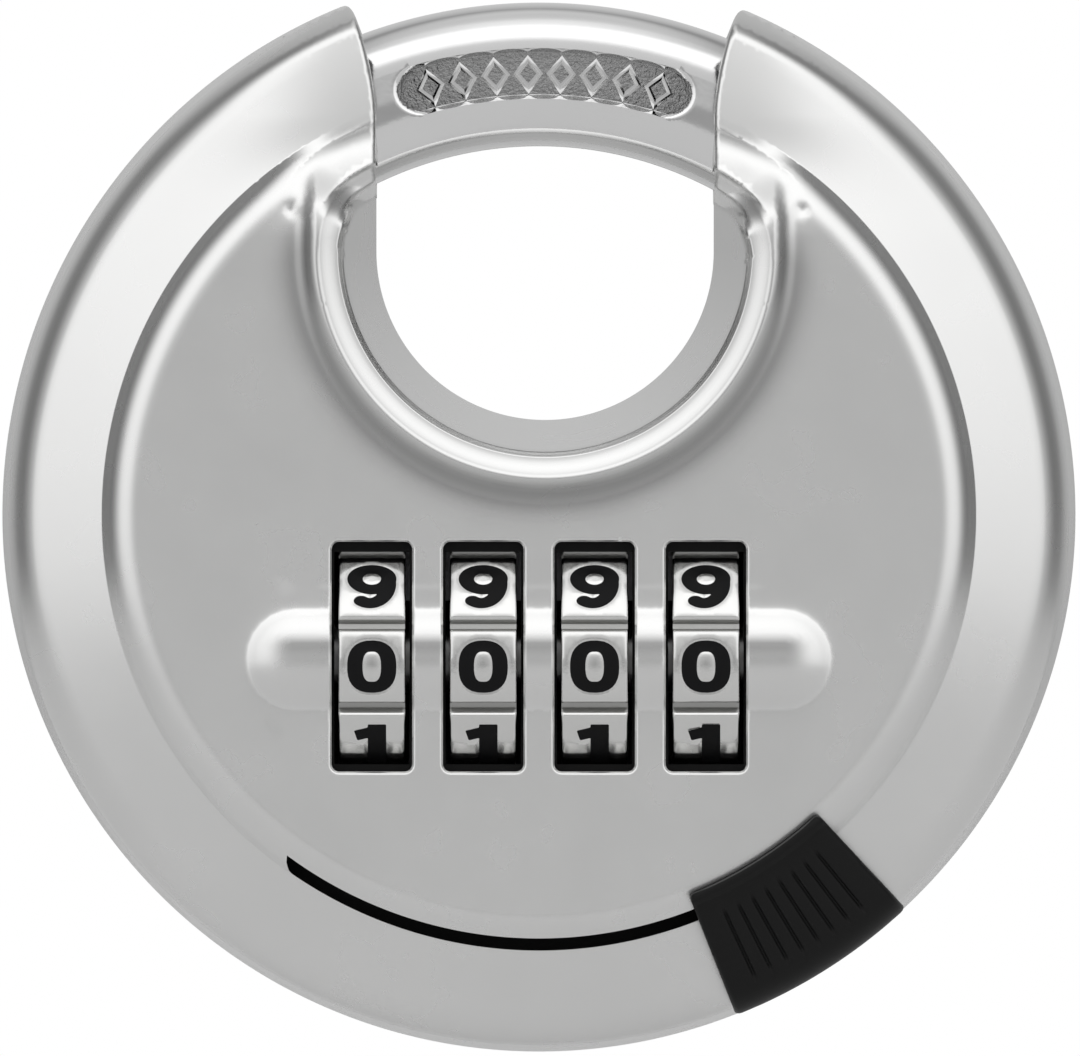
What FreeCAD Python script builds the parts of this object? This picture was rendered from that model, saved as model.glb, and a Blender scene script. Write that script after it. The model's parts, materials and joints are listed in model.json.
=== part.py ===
"""Disc padlock with four number dials and a turning shackle, in millimetres.

X runs right, Z up and +Y to the rear, so the dials face -Y. The origin is the
disc's centre at the seam between the shells, on the axis that the shackle turns about.
Outlines of turned pieces are (radius, height) pairs: height is the distance from
the seam plane, towards -Y in front and towards +Y in the rear.
"""

import FreeCAD, Part
import math
import os
import re
import Sketcher

from FreeCAD import Placement, Rotation, Vector

doc = FreeCAD.newDocument("DiscPadlock")
NODES = []

# ---------------------------------------------------------------- driving dimensions

SIZES = {
    # Shells
    "disc_radius": 35.0,
    "wall_top_radius": 34.5,
    "wall_top_height": 6.0,
    "shoulder_radius": 32.2,
    "shoulder_height": 9.0,
    "shoulder_bend": 3.4,
    "crease_radius": 28.4,
    "crease_height": 10.4,
    "step_radius": 27.9,
    "step_height": 11.1,
    "plateau_radius": 25.9,
    "plateau_height": 12.0,
    "plateau_bend": 2.6,
    "sheet_gauge": 1.1,
    # Throat: a U open at the top, whose walls lean outwards towards both faces
    "throat_centre_x": 0.4,
    "throat_centre_z": 17.2,
    "throat_radius": 11.0,
    "throat_draft": 2.1,
    "throat_depth": 11.6,
    "throat_reach": 20.0,
    "bead_inner": 12.6,
    "bead_crest": 15.0,
    "bead_outer": 16.4,
    "bead_height": 13.0,
    "bead_top_z": 34.0,
    # Guard: a low pillow across the dials
    "guard_reach": 3.15,
    "guard_rise": 0.95,
    "guard_half_length": 15.8,
    # Shackle
    "ring_inner": 24.07,
    "ring_outer": 33.4,
    "ring_half_depth": 4.8,
    "ring_corner": 2.2,
    "shackle_tip_angle": 122.0,
    "shackle_tail_angle": 75.0,
    "shackle_travel": 58.0,
    "running_gap": 0.3,
    "screw_hole_depth": 4.0,
    "panel_inner": 27.1,
    "panel_outer": 30.4,
    "panel_sink": 0.4,
    "panel_start": 69.3,
    "panel_end": 109.2,
    "notch_gap": 0.35,
    # Tab, its carrier and the slot that it runs along
    "slot_inner": 27.4,
    "slot_outer": 28.4,
    "slot_end_angle": 126.5,
    "tab_start_angle": 47.0,
    "tab_end_angle": 68.5,
    "blade_inner": 27.65,
    "blade_outer": 28.15,
    "carrier_start_angle": 49.0,
    "carrier_end_angle": 66.5,
    "carrier_foot": 5.9,
    "carrier_foot_outer": 31.0,
    "blade_top": 12.4,
    "tab_lip_inner": 26.5,
    "tab_lip_outer": 27.3,
    "tab_flat_inner": 28.6,
    "tab_flat_outer": 33.2,
    "tab_rim_height": 8.2,
    "tab_hem_height": 6.6,
    "tab_rim_bend": 2.6,
    "grip_inner": 28.9,
    "grip_outer": 33.4,
    "grip_floor": 11.0,
    "grip_half_width": 0.16,
    "carrier_screw_orbit": 29.9,
    "carrier_screw_shaft": 0.5,
    "carrier_screw_head": 0.9,
    "carrier_head_height": 0.5,
    "strip_inner": 26.4,
    "strip_outer": 29.6,
    "strip_height": 8.2,
    "strip_gauge": 0.3,
    # Dials
    "dial_axis_y": -4.5,
    "dial_axis_z": -9.3,
    "dial_pitch": 7.23,
    "dial_radius": 8.9,
    "dial_width": 4.3,
    "dial_bevel": 0.3,
    "dial_bore": 5.0,
    "dial_notch_radius": 5.6,
    "groove_width": 1.1,
    "groove_sink": 0.6,
    "window_half_width": 2.62,
    "window_half_height": 7.65,
    "bezel_half_height": 6.9,
    "bezel_lip": 0.4,
    "bezel_half_length": 14.8,
    "bezel_low": -17.9,
    "bezel_high": -0.7,
    # Spindle, gates and bolt
    "spindle_radius": 2.3,
    "spindle_left": -17.0,
    "spindle_right": 15.0,
    "journal_radius": 1.6,
    "fin_radius": 3.6,
    "fin_width": 0.8,
    "fin_height": 1.1,
    "fin_offset": -0.15,
    "sleeve_radius": 4.9,
    "sleeve_cavity": 3.9,
    "sleeve_left": -1.0,
    "gate_left": 1.3,
    "gate_right": 2.15,
    "shaft_fit": 0.06,
    "gate_slot_radius": 3.85,
    "gate_slot_height": 1.7,
    "key_left": 0.9,
    "key_half_height": 0.45,
    "bolt_block_length": 2.4,
    "bolt_block_front": 2.6,
    "bolt_block_half_height": 2.3,
    "bolt_nose_tip": 20.95,
    "bolt_half_height": 1.9,
    "bolt_half_depth": 2.2,
    "bolt_travel": 3.0,
    "bolt_pin_radius": 0.5,
    "spring_wire": 0.2,
    "spring_coil": 1.6,
    "spring_turns": 5.0,
    "bracket_face": -20.7,
    "bracket_gauge": 0.8,
    "bracket_half_height": 3.0,
    "bracket_foot_half_height": 1.5,
    "bracket_pin_radius": 0.9,
    "bracket_pin_length": 2.2,
    # Chassis
    "chassis_half_length": 14.6,
    "chassis_inner": 13.4,
    "chassis_front": -9.6,
    "chassis_rear": 5.0,
    "plate_gauge": 1.2,
    "chassis_low": -16.5,
    "chassis_high": -1.8,
    "ear_reach": 18.4,
    "partition_left": 3.95,
    "partition_right": 4.75,
    "partition_top": -6.0,
    "standoff_radius": 1.5,
    "fastener_radius": 0.8,
    "fastener_head": 1.4,
    "fastener_head_height": 0.8,
    "fastener_bite": 3.2,
    "screw_x": 16.6,
    "screw_low_z": -13.4,
    "screw_high_z": -5.2,
    "detent_half_length": 13.0,
    "detent_gauge": 0.4,
    "detent_low": -5.6,
    "detent_high": -2.1,
    "detent_screw_z": -3.4,
    "detent_head": 1.2,
    "detent_head_height": 0.6,
    "leaf_half_width": 1.2,
    "leaf_gauge": 0.3,
    "leaf_length": 5.0,
    "leaf_foot_z": -5.5,
    # Plates, guides, stops and seals
    "inner_face": 10.9,
    "post_radius": 1.5,
    "drill_left": 15.2,
    "drill_right": 20.6,
    "drill_low": -13.6,
    "drill_high": -4.6,
    "guide_inner": 22.3,
    "stop_rear": 7.7,
    "stop_outer": 31.4,
    "open_stop_inner": 24.5,
    "closed_stop_inner": 26.4,
    "seal_near": 13.5,
    "seal_far": 14.7,
    "seal_half_depth": 6.2,
    "seal_low": 17.5,
    "seal_high": 29.2,
}

# Places (x, z) of the posts between the shells, clear of the shackle's and the bolt's paths
POST_PLACES = ((-21.0, 9.0), (-22.0, -1.0), (18.4, 3.0), (0.0, -21.6))
GRIP_GROOVES = 8
GRIP_PITCH = 2.05  # degrees between the tab's grooves
GUIDE_TURNS = ("-2", "48")
LEAF_LEAN = 45
THROAT_OVERSHOOT = 1.2  # the throat's cutters run this many times deeper than the shell

sheet = doc.addObject("Spreadsheet::Sheet", "Sizes")
for row, (alias, size) in enumerate(SIZES.items(), start=1):
    sheet.set(f"A{row}", alias)
    sheet.set(f"B{row}", str(size))
    sheet.setAlias(f"B{row}", alias)
doc.recompute()

# ---------------------------------------------------------------- helpers

ALIAS = re.compile(r"\b(" + "|".join(sorted(SIZES, key=len, reverse=True)) + r")\b")


def sized(expression):
    """The expression with every size name pointing at the sheet."""
    return ALIAS.sub(r"Sizes.\1", str(expression))


def value(expression):
    """The number that an expression gives now."""
    result = sheet.evalExpression(sized(expression))
    return float(getattr(result, "Value", result))


def bind(thing, **properties):
    """Bind properties to the sheet; Base_x and its like mean Placement.Base.x."""
    for name, expression in properties.items():
        path = name.replace("Base_", "Placement.Base.")
        thing.setExpression(path, sized(expression))
    return thing


def node(thing, label):
    """Mark an object as one finished piece, named for its file."""
    thing.Label = label
    NODES.append(thing)
    return thing


def box(x, y, z, name="Block"):
    """A box from (low, high) expressions along each axis."""
    block = doc.addObject("Part::Box", name)
    spans = {axis: f"({high}) - ({low})" for axis, (low, high) in zip("xyz", (x, y, z))}
    bind(block, Length=spans["x"], Width=spans["y"], Height=spans["z"])
    return bind(block, Base_x=x[0], Base_y=y[0], Base_z=z[0])


TURN_TO = {
    "X": Rotation(Vector(0, 1, 0), 90),
    "Y": Rotation(Vector(1, 0, 0), -90),
    "Z": Rotation(),
}


def rod(direction, radius, start, length, name="Rod"):
    """A cylinder that starts at a point and runs along one axis."""
    cylinder = doc.addObject("Part::Cylinder", name)
    cylinder.Placement = Placement(Vector(), TURN_TO[direction])
    bind(cylinder, Radius=radius, Height=length)
    return bind(cylinder, Base_x=start[0], Base_y=start[1], Base_z=start[2])


def cut(base, *tools, name="Cut"):
    """The base less every tool."""
    result = doc.addObject("Part::Cut", name)
    result.Base = base
    result.Tool = tools[0] if len(tools) == 1 else fuse(*tools)
    return result


def fuse(*shapes, name="Union"):
    """All shapes as one."""
    result = doc.addObject("Part::MultiFuse", name)
    result.Shapes = list(shapes)
    return result


def common(*shapes, name="Common"):
    """What all shapes share."""
    result = doc.addObject("Part::MultiCommon", name)
    result.Shapes = list(shapes)
    return result


def group(*shapes, name="Group"):
    """Separate solids kept together as one node."""
    result = doc.addObject("Part::Compound", name)
    result.Links = list(shapes)
    return result


def sector(inner, outer, y, start, end, name="Sector"):
    """A ring sector about the disc axis; angles grow anticlockwise seen from the front."""
    low, high = y
    first = Rotation(Vector(0, -1, 0), value(start)) * Rotation(Vector(1, 0, 0), 90)
    rings = []
    for radius, spare in ((outer, 0), (inner, 1)):
        ring = doc.addObject("Part::Cylinder", name + "Ring")
        ring.Placement = Placement(Vector(), first)
        bind(ring, Radius=radius, Height=f"({high}) - ({low}) + {2 * spare}")
        bind(ring, Angle=f"({end}) - ({start})", Base_y=f"({high}) + {spare}")
        rings.append(ring)
    return cut(*rings, name=name)


def arc_centre(start, end, radius):
    """Centre of a short arc; a positive radius runs anticlockwise from start to end."""
    chord = (end[0] - start[0], end[1] - start[1])
    length = math.hypot(*chord)
    rise = math.sqrt(radius**2 - (length / 2) ** 2) * math.copysign(1, radius)
    middle = ((start[0] + end[0]) / 2, (start[1] + end[1]) / 2)
    return (middle[0] - chord[1] / length * rise, middle[1] + chord[0] / length * rise)


def draw(sketch, outline):
    """Draw a closed outline of (x, y) or (x, y, arc radius) and bind every size.

    A third value makes the stretch that arrives at the point an arc, anticlockwise
    when it is positive.
    """
    places = [(value(point[0]), value(point[1])) for point in outline]
    ends = []
    for index, point in enumerate(outline):
        start, end = places[index - 1], places[index]
        if len(point) == 2:
            line = Part.LineSegment(Vector(*start, 0), Vector(*end, 0))
            ends.append((sketch.addGeometry(line, False), 1, 2))
            continue
        radius = value(point[2])
        centre = arc_centre(start, end, radius)
        pair = (start, end) if radius > 0 else (end, start)
        turns = [math.atan2(at[1] - centre[1], at[0] - centre[0]) for at in pair]
        circle = Part.Circle(Vector(*centre, 0), Vector(0, 0, 1), abs(radius))
        arc = sketch.addGeometry(Part.ArcOfCircle(circle, *turns), False)
        ends.append((arc, 1, 2) if radius > 0 else (arc, 2, 1))
    for index, point in enumerate(outline):
        edge, _, last = ends[index]
        following, first, _ = ends[(index + 1) % len(outline)]
        sketch.addConstraint(Sketcher.Constraint("Coincident", edge, last, following, first))
        for kind, expression in zip(("DistanceX", "DistanceY"), point):
            number = sketch.addConstraint(Sketcher.Constraint(kind, edge, last, value(expression)))
            sketch.setExpression(f"Constraints[{number}]", sized(expression))
        if len(point) == 3:
            rule = Sketcher.Constraint("Radius", edge, abs(value(point[2])))
            number = sketch.addConstraint(rule)
            sketch.setExpression(f"Constraints[{number}]", sized(f"abs({point[2]})"))
    return sketch


def turned(outline, side, name="Turned", centre=("0", "0")):
    """A solid turned about an axis along Y from (radius, height) points on one side."""
    sketch = doc.addObject("Sketcher::SketchObject", name + "Outline")
    flipped = [
        (point[0], f"{side} * ({point[1]})", *(f"{side} * ({bend})" for bend in point[2:]))
        for point in outline
    ]
    draw(sketch, flipped)
    solid = doc.addObject("Part::Revolution", name)
    solid.Source = sketch
    solid.Axis = Vector(0, 1, 0)
    solid.Base = Vector()
    solid.Angle = 360
    solid.Solid = True
    return bind(solid, Base_x=centre[0], Base_z=centre[1])


def body(name):
    return doc.addObject("PartDesign::Body", name)


def origin_plane(owner, role):
    return next(f for f in owner.Origin.OriginFeatures if f.Role == role)


def body_sketch(owner, role, name, outline=None, circles=()):
    """A sketch on one of a body's own origin planes."""
    sketch = owner.newObject("Sketcher::SketchObject", name)
    sketch.AttachmentSupport = [(origin_plane(owner, role), "")]
    sketch.MapMode = "FlatFace"
    if outline:
        draw(sketch, outline)
    for radius in circles:
        ring = Part.Circle(Vector(), Vector(0, 0, 1), value(radius))
        edge = sketch.addGeometry(ring, False)
        sketch.addConstraint(Sketcher.Constraint("Coincident", edge, 3, -1, 1))
        number = sketch.addConstraint(Sketcher.Constraint("Radius", edge, value(radius)))
        sketch.setExpression(f"Constraints[{number}]", sized(radius))
    return sketch


def pad(owner, sketch, length, name):
    feature = owner.newObject("PartDesign::Pad", name)
    feature.Profile = sketch
    return bind(feature, Length=length)


def pocket_through(owner, sketch, name, length=None):
    """A pocket that cuts both ways from its sketch."""
    feature = owner.newObject("PartDesign::Pocket", name)
    feature.Profile = sketch
    feature.Midplane = True
    return bind(feature, Length=length)


def rectangle(x, y):
    """Corner points of a rectangle, in order."""
    return [(x[0], y[0]), (x[1], y[0]), (x[1], y[1]), (x[0], y[1])]


# ---------------------------------------------------------------- shells

OUTER_OUTLINE = [
    ("0", "0"),
    ("disc_radius", "0"),
    ("wall_top_radius", "wall_top_height"),
    ("shoulder_radius", "shoulder_height", "shoulder_bend"),
    ("crease_radius", "crease_height"),
    ("step_radius", "step_height"),
    ("plateau_radius", "plateau_height", "plateau_bend"),
    ("0", "plateau_height"),
]

INNER_OUTLINE = [
    ("0", "-1"),
    ("disc_radius - sheet_gauge", "-1"),
    ("disc_radius - sheet_gauge", "0"),
    ("wall_top_radius - sheet_gauge", "wall_top_height - 0.2"),
    ("shoulder_radius - 0.3 * sheet_gauge", "shoulder_height - sheet_gauge", "shoulder_bend"),
    ("crease_radius - 0.5 * sheet_gauge", "crease_height - sheet_gauge"),
    ("step_radius - sheet_gauge", "step_height - 0.6 * sheet_gauge"),
    ("plateau_radius - 0.2", "plateau_height - sheet_gauge", "plateau_bend"),
    ("0", "plateau_height - sheet_gauge"),
]

BEAD_OUTLINE = [
    ("bead_inner", "crease_height"),
    ("bead_outer + 1.8", "crease_height"),
    ("bead_outer + 1.8", "plateau_height"),
    ("bead_outer", "plateau_height + 0.2", "-3.4"),
    ("bead_crest", "bead_height", "1.5"),
    ("bead_inner", "plateau_height - 0.8", "2.4"),
]

ENVELOPE_OUTLINE = [
    ("0", "0"),
    ("disc_radius", "0"),
    ("wall_top_radius", "wall_top_height"),
    ("shoulder_radius + 0.6", "shoulder_height + 0.2", "shoulder_bend"),
    ("crease_radius", "plateau_height + 0.2"),
    ("bead_inner + 8", "bead_height + 0.1"),
    ("0", "bead_height + 0.1"),
]

THROAT_CENTRE = ("throat_centre_x", "throat_centre_z")


def throat(side, growth, name):
    """The U of the throat on one side of the seam, grown outwards by growth."""
    radius = f"throat_radius + ({growth})"
    depth = f"throat_depth * {THROAT_OVERSHOOT}"
    lean = f"throat_draft * {THROAT_OVERSHOOT}"
    turn = Rotation(Vector(1, 0, 0), 90 if side < 0 else -90)
    bowl = doc.addObject("Part::Cone", name + "Bowl")
    bowl.Placement = Placement(Vector(), turn)
    bind(bowl, Radius1=radius, Radius2=f"{radius} + {lean}", Height=depth)
    bind(bowl, Base_x="throat_centre_x", Base_z="throat_centre_z")
    mouth = doc.addObject("Part::Wedge", name + "Mouth")
    mouth.Placement = Placement(Vector(), Rotation(Vector(0, 0, 1), 180 if side < 0 else 0))
    bind(mouth, Xmin=f"-({radius})", Xmax=radius, Ymin="0", Ymax=depth)
    bind(mouth, X2min=f"-({radius} + {lean})", X2max=f"{radius} + {lean}")
    bind(mouth, Zmin="0", Zmax="throat_reach", Z2min="0", Z2max="throat_reach")
    bind(mouth, Base_x="throat_centre_x", Base_z="throat_centre_z")
    return fuse(bowl, mouth, name=name)


def bead(side):
    """The raised rim of the throat: a half ring with two straight legs."""
    ring = turned(BEAD_OUTLINE, side, "BeadRing", THROAT_CENTRE)
    legs = []
    for leg_side in (-1, 1):
        sketch = doc.addObject("Sketcher::SketchObject", "BeadLegOutline")
        flips = leg_side * side
        outline = [
            (f"{leg_side} * ({p[0]})", f"{side} * ({p[1]})", *(f"{flips} * ({b})" for b in p[2:]))
            for p in BEAD_OUTLINE
        ]
        draw(sketch, outline)
        leg = doc.addObject("Part::Extrusion", "BeadLeg")
        leg.Base = sketch
        leg.DirMode = "Custom"
        leg.Dir = Vector(0, 0, 1)
        leg.Solid = True
        bind(leg, LengthFwd="bead_top_z - throat_centre_z")
        legs.append(bind(leg, Base_x="throat_centre_x", Base_z="throat_centre_z"))
    whole = fuse(ring, *legs, name="Bead")
    return common(whole, turned(ENVELOPE_OUTLINE, side, "BeadLimit"), name="BeadTrimmed")


def shell_blank(side):
    """One pressed half: skin, bead and throat wall, with the channel for the shackle."""
    skin = fuse(turned(OUTER_OUTLINE, side, "Skin"), bead(side), name="SkinWithBead")
    wall = throat(side, "sheet_gauge", "ThroatWall")
    hollow = cut(turned(INNER_OUTLINE, side, "Inside"), wall, name="Hollow")
    opening = throat(side, "0", "Throat")
    depth = "ring_half_depth + running_gap"
    channel = sector(
        "ring_inner - running_gap",
        "ring_outer + running_gap",
        (f"-({depth})", depth),
        "50",
        "shackle_tip_angle + 2",
        "ShackleChannel",
    )
    return skin, (hollow, opening, channel)


def dial_centre(index):
    """X of a dial's middle, as an expression."""
    return f"({index - 2.5} * dial_pitch)"


GUARD_RADIUS = "(guard_reach * guard_reach + guard_rise * guard_rise) / (2 * guard_rise)"


def guard_shape(radius, name):
    """A round bar with ball ends, so deep that only a low pillow shows above the panel."""
    centre_y = f"{GUARD_RADIUS} - guard_rise - plateau_height"
    start = ("-guard_half_length", centre_y, "dial_axis_z")
    bar = rod("X", radius, start, "2 * guard_half_length", name + "Bar")
    balls = []
    for sign in ("-", ""):
        ball = doc.addObject("Part::Sphere", name + "Ball")
        bind(ball, Radius=radius, Base_x=f"{sign}guard_half_length")
        balls.append(bind(ball, Base_y=centre_y, Base_z="dial_axis_z"))
    return fuse(bar, *balls, name=name)


def front_shell():
    skin, tools = shell_blank(-1)
    front_room = box(("-25", "25"), ("-20", "-plateau_height + 0.5"), ("-20", "5"), "FrontRoom")
    guard = common(guard_shape(GUARD_RADIUS, "Guard"), front_room, name="GuardFront")
    inside_guard = guard_shape(f"{GUARD_RADIUS} - sheet_gauge", "GuardInside")
    windows = []
    for index in range(1, 5):
        centre = dial_centre(index)
        across = (f"{centre} - window_half_width", f"{centre} + window_half_width")
        along = ("dial_axis_z - window_half_height", "dial_axis_z + window_half_height")
        windows.append(box(across, ("-20", "-5"), along, "Window"))
    slot = sector(
        "slot_inner",
        "slot_outer",
        ("-14", "-7"),
        "-slot_end_angle",
        "-tab_start_angle",
        "TabSlot",
    )
    whole = fuse(skin, guard, name="FrontSkin")
    shell = cut(whole, *tools, inside_guard, *windows, slot, name="FrontShell")
    node(shell, "front_shell")


def rear_shell():
    skin, tools = shell_blank(1)
    node(cut(skin, *tools, name="RearShell"), "rear_shell")


def shell_posts():
    """Posts between the two shells."""
    posts = [
        rod("Y", "post_radius", (str(x), "-inner_face", str(z)), "2 * inner_face", "Post")
        for x, z in POST_PLACES
    ]
    node(group(*posts, name="ShellPosts"), "shell_posts")


# ---------------------------------------------------------------- shackle and tab


def shackle():
    """A turned ring with a sunk front panel, two bolt notches and two screw holes."""
    ring = body("Shackle")
    low, high = "ring_inner", "ring_outer"
    half, corner = "ring_half_depth", "ring_corner"
    outline = [
        (f"{low} + {corner}", f"-{half}"),
        (f"{high} - {corner}", f"-{half}"),
        (high, f"-{half} + {corner}", corner),
        (high, f"{half} - {corner}"),
        (f"{high} - {corner}", half, corner),
        (f"{low} + {corner}", half),
        (low, f"{half} - {corner}", corner),
        (low, f"-{half} + {corner}"),
        (f"{low} + {corner}", f"-{half}", corner),
    ][1:]
    section = body_sketch(ring, "XY_Plane", "ShackleSection", outline)
    sweep = ring.newObject("PartDesign::Revolution", "ShackleRing")
    sweep.Profile = section
    sweep.ReferenceAxis = (section, ["V_Axis"])
    sweep.Type = "TwoAngles"
    bind(sweep, Angle="shackle_tail_angle", Angle2="shackle_tip_angle")
    sunk = sector(
        "panel_inner",
        "panel_outer",
        ("-ring_half_depth - 1", "-ring_half_depth + panel_sink"),
        "panel_start",
        "panel_end",
        "SunkPanel",
    )
    half_height = "(bolt_half_height + notch_gap)"
    notches = []
    for turn in ("0", "shackle_travel"):
        notch = box(
            ("bolt_nose_tip - 3", "bolt_nose_tip + bolt_travel + notch_gap"),
            ("-bolt_half_depth - notch_gap", "bolt_half_depth + notch_gap"),
            (f"dial_axis_z - {half_height}", f"dial_axis_z + {half_height}"),
            "BoltNotch",
        )
        notches.append(swung(notch, turn))
    holes = [carrier_hole(turn) for turn in carrier_screw_turns()]
    shape = cut(ring, sunk, *notches, *holes, name="ShackleFinished")
    node(shape, "shackle")


def swung(shape, turn):
    """A copy of a shape swung about the disc axis, anticlockwise seen from the front."""
    holder = doc.addObject("Part::Compound", "Swung")
    holder.Links = [shape]
    holder.Placement = Placement(Vector(), Rotation(Vector(0, -1, 0), value(turn)))
    return holder


def carrier_screw_turns():
    return ("-(carrier_start_angle + 2.5)", "-(carrier_end_angle - 2.5)")


def carrier_hole(turn):
    return swung(carrier_rod("carrier_screw_shaft", "screw_hole_depth + carrier_head_height"), turn)


def carrier_rod(radius, length):
    """A rod from the level of the screw heads, at the angle where X points."""
    start = ("carrier_screw_orbit", "-carrier_foot - carrier_head_height", "0")
    return rod("Y", radius, start, length, "CarrierRod")


def tab_carrier(tab_solid):
    """Foot on the shackle and a thin blade up through the slot, ending at the tab."""
    span = ("-carrier_end_angle", "-carrier_start_angle")
    depth = ("-carrier_foot", "-ring_half_depth")
    foot = sector("strip_inner", "carrier_foot_outer", depth, *span, "CarrierFoot")
    depth = ("-blade_top", "-carrier_foot + 0.1")
    blade = sector("blade_inner", "blade_outer", depth, *span, "Blade")
    holes = [carrier_hole(turn) for turn in carrier_screw_turns()]
    shape = cut(fuse(foot, blade, name="CarrierBlank"), tab_solid, *holes, name="TabCarrier")
    node(shape, "tab_carrier")
    screws = []
    for turn in carrier_screw_turns():
        shaft = carrier_rod("carrier_screw_shaft", "screw_hole_depth + carrier_head_height")
        head = carrier_rod("carrier_screw_head", "carrier_head_height")
        screws.append(swung(fuse(shaft, head, name="CarrierScrew"), turn))
    node(group(*screws, name="TabScrews"), "tab_screws")


def thumb_tab():
    """A cap that follows the rim from the plateau's edge to the silhouette."""
    tab = body("ThumbTab")
    outline = [
        ("disc_radius", "-tab_hem_height"),
        ("shoulder_radius + 0.9", "-shoulder_height - 0.5", "-shoulder_bend"),
        ("crease_radius + 0.2", "-crease_height - 0.35"),
        ("step_radius + 0.25", "-plateau_height + 0.35"),
        ("tab_lip_inner", "-plateau_height - 0.25"),
        ("tab_lip_inner", "-plateau_height - 1.3"),
        ("tab_lip_outer", "-plateau_height - 1.5"),
        ("tab_flat_inner", "-crease_height - 2.1"),
        ("tab_flat_outer", "-shoulder_height - 1.7"),
        ("disc_radius", "-tab_rim_height", "tab_rim_bend"),
    ]
    section = body_sketch(tab, "XY_Plane", "TabSection", outline)
    sweep = tab.newObject("PartDesign::Revolution", "TabSweep")
    sweep.Profile = section
    sweep.ReferenceAxis = (section, ["V_Axis"])
    bind(sweep, Angle="tab_end_angle - tab_start_angle")
    tab.Placement = Placement(Vector(), Rotation(Vector(0, 1, 0), value("tab_start_angle")))
    grooves = []
    middle = "(tab_start_angle + tab_end_angle) / 2"
    for step in range(GRIP_GROOVES):
        groove = box(
            ("grip_inner", "grip_outer"),
            ("-14", "-grip_floor"),
            ("-grip_half_width", "grip_half_width"),
            "GripGroove",
        )
        offset = GRIP_PITCH * (step - (GRIP_GROOVES - 1) / 2)
        grooves.append(swung(groove, f"-{middle} + {offset}"))
    shape = cut(tab, *grooves, name="TabFinished")
    node(shape, "thumb_tab")
    return tab


def dust_strip():
    """Closes the slot from behind on both sides of the tab, whatever its place."""
    level = ("-strip_height - strip_gauge", "-strip_height")
    through = ("-strip_height - 1", "-strip_height + 1")
    ends = ("-slot_end_angle", "-tab_start_angle + shackle_travel")
    strip = sector("strip_inner", "strip_outer", level, *ends, "Strip")
    reach = ("-carrier_end_angle - 0.4", "-carrier_start_angle + 0.4")
    hole = sector("blade_inner - 0.1", "blade_outer + 0.1", through, *reach, "BladeHole")
    node(cut(strip, hole, name="DustStrip"), "dust_strip")


# ---------------------------------------------------------------- dials and spindle


def dial(index):
    """A dial with ten flats, grooves between them and a notched bore."""
    wheel = body(f"Dial{index}")
    sketch = body_sketch(wheel, "XY_Plane", f"DialRing{index}", circles=("dial_radius", "dial_bore"))
    rim = pad(wheel, sketch, "dial_width", f"DialPad{index}")
    doc.recompute()
    bevel = wheel.newObject("PartDesign::Chamfer", f"DialBevel{index}")
    edges = [
        f"Edge{number}"
        for number, edge in enumerate(rim.Shape.Edges, start=1)
        if isinstance(edge.Curve, Part.Circle) and edge.Curve.Radius > value("dial_radius") - 0.1
    ]
    bevel.Base = (rim, edges)
    bind(bevel, Size="dial_bevel")
    cutters = (
        ("Groove", "dial_radius - groove_sink", "dial_radius + 1", "groove_width / 2", 0.0),
        ("Notch", "dial_bore - 0.5", "dial_notch_radius", "0.6", 18.0),
    )
    for name, inner, outer, half, turn in cutters:
        outline = rectangle((inner, outer), (f"-({half})", half))
        profile = body_sketch(wheel, "XY_Plane", f"{name}Outline{index}", outline)
        profile.AttachmentOffset = Placement(Vector(), Rotation(Vector(0, 0, 1), turn))
        pocket = pocket_through(wheel, profile, f"{name}{index}", "4 * dial_width")
        pattern = wheel.newObject("PartDesign::PolarPattern", f"{name}Pattern{index}")
        pattern.Originals = [pocket]
        pattern.Axis = (profile, ["N_Axis"])
        pattern.Angle = 360
        pattern.Occurrences = 10
        wheel.Tip = pattern
    wheel.Placement = Placement(Vector(), TURN_TO["X"])
    bind(wheel, Base_x=f"{dial_centre(index)} - dial_width / 2")
    bind(wheel, Base_y="dial_axis_y", Base_z="dial_axis_z")
    node(wheel, f"dial_{index}")


def on_axis(x):
    """A point on the dial axis."""
    return (x, "dial_axis_y", "dial_axis_z")


def clutch_sleeve(index):
    """A cup inside the dial, whose end wall has the gate that one fin passes through."""
    centre = dial_centre(index)
    left, gate, right = (f"{centre} + {name}" for name in ("sleeve_left", "gate_left", "gate_right"))
    drum = rod("X", "sleeve_radius", on_axis(left), "gate_right - sleeve_left", "SleeveDrum")
    key = box(
        (f"{centre} + key_left", right),
        ("dial_axis_y + sleeve_radius - 0.5", "dial_axis_y + dial_notch_radius - 0.1"),
        ("dial_axis_z - key_half_height", "dial_axis_z + key_half_height"),
        "SleeveKey",
    )
    cavity = rod("X", "sleeve_cavity", on_axis(f"{left} - 1"), "gate_left - sleeve_left + 1", "Cavity")
    bore = rod("X", "spindle_radius + shaft_fit", on_axis(f"{left} - 1"), "8", "SleeveBore")
    slot = box(
        (f"{gate} - 0.5", f"{right} + 0.5"),
        ("dial_axis_y", "dial_axis_y + gate_slot_radius"),
        ("dial_axis_z - gate_slot_height / 2", "dial_axis_z + gate_slot_height / 2"),
        "Gate",
    )
    sleeve = cut(fuse(drum, key), cavity, bore, slot, name=f"ClutchSleeve{index}")
    node(sleeve, f"clutch_sleeve_{index}")


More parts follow.
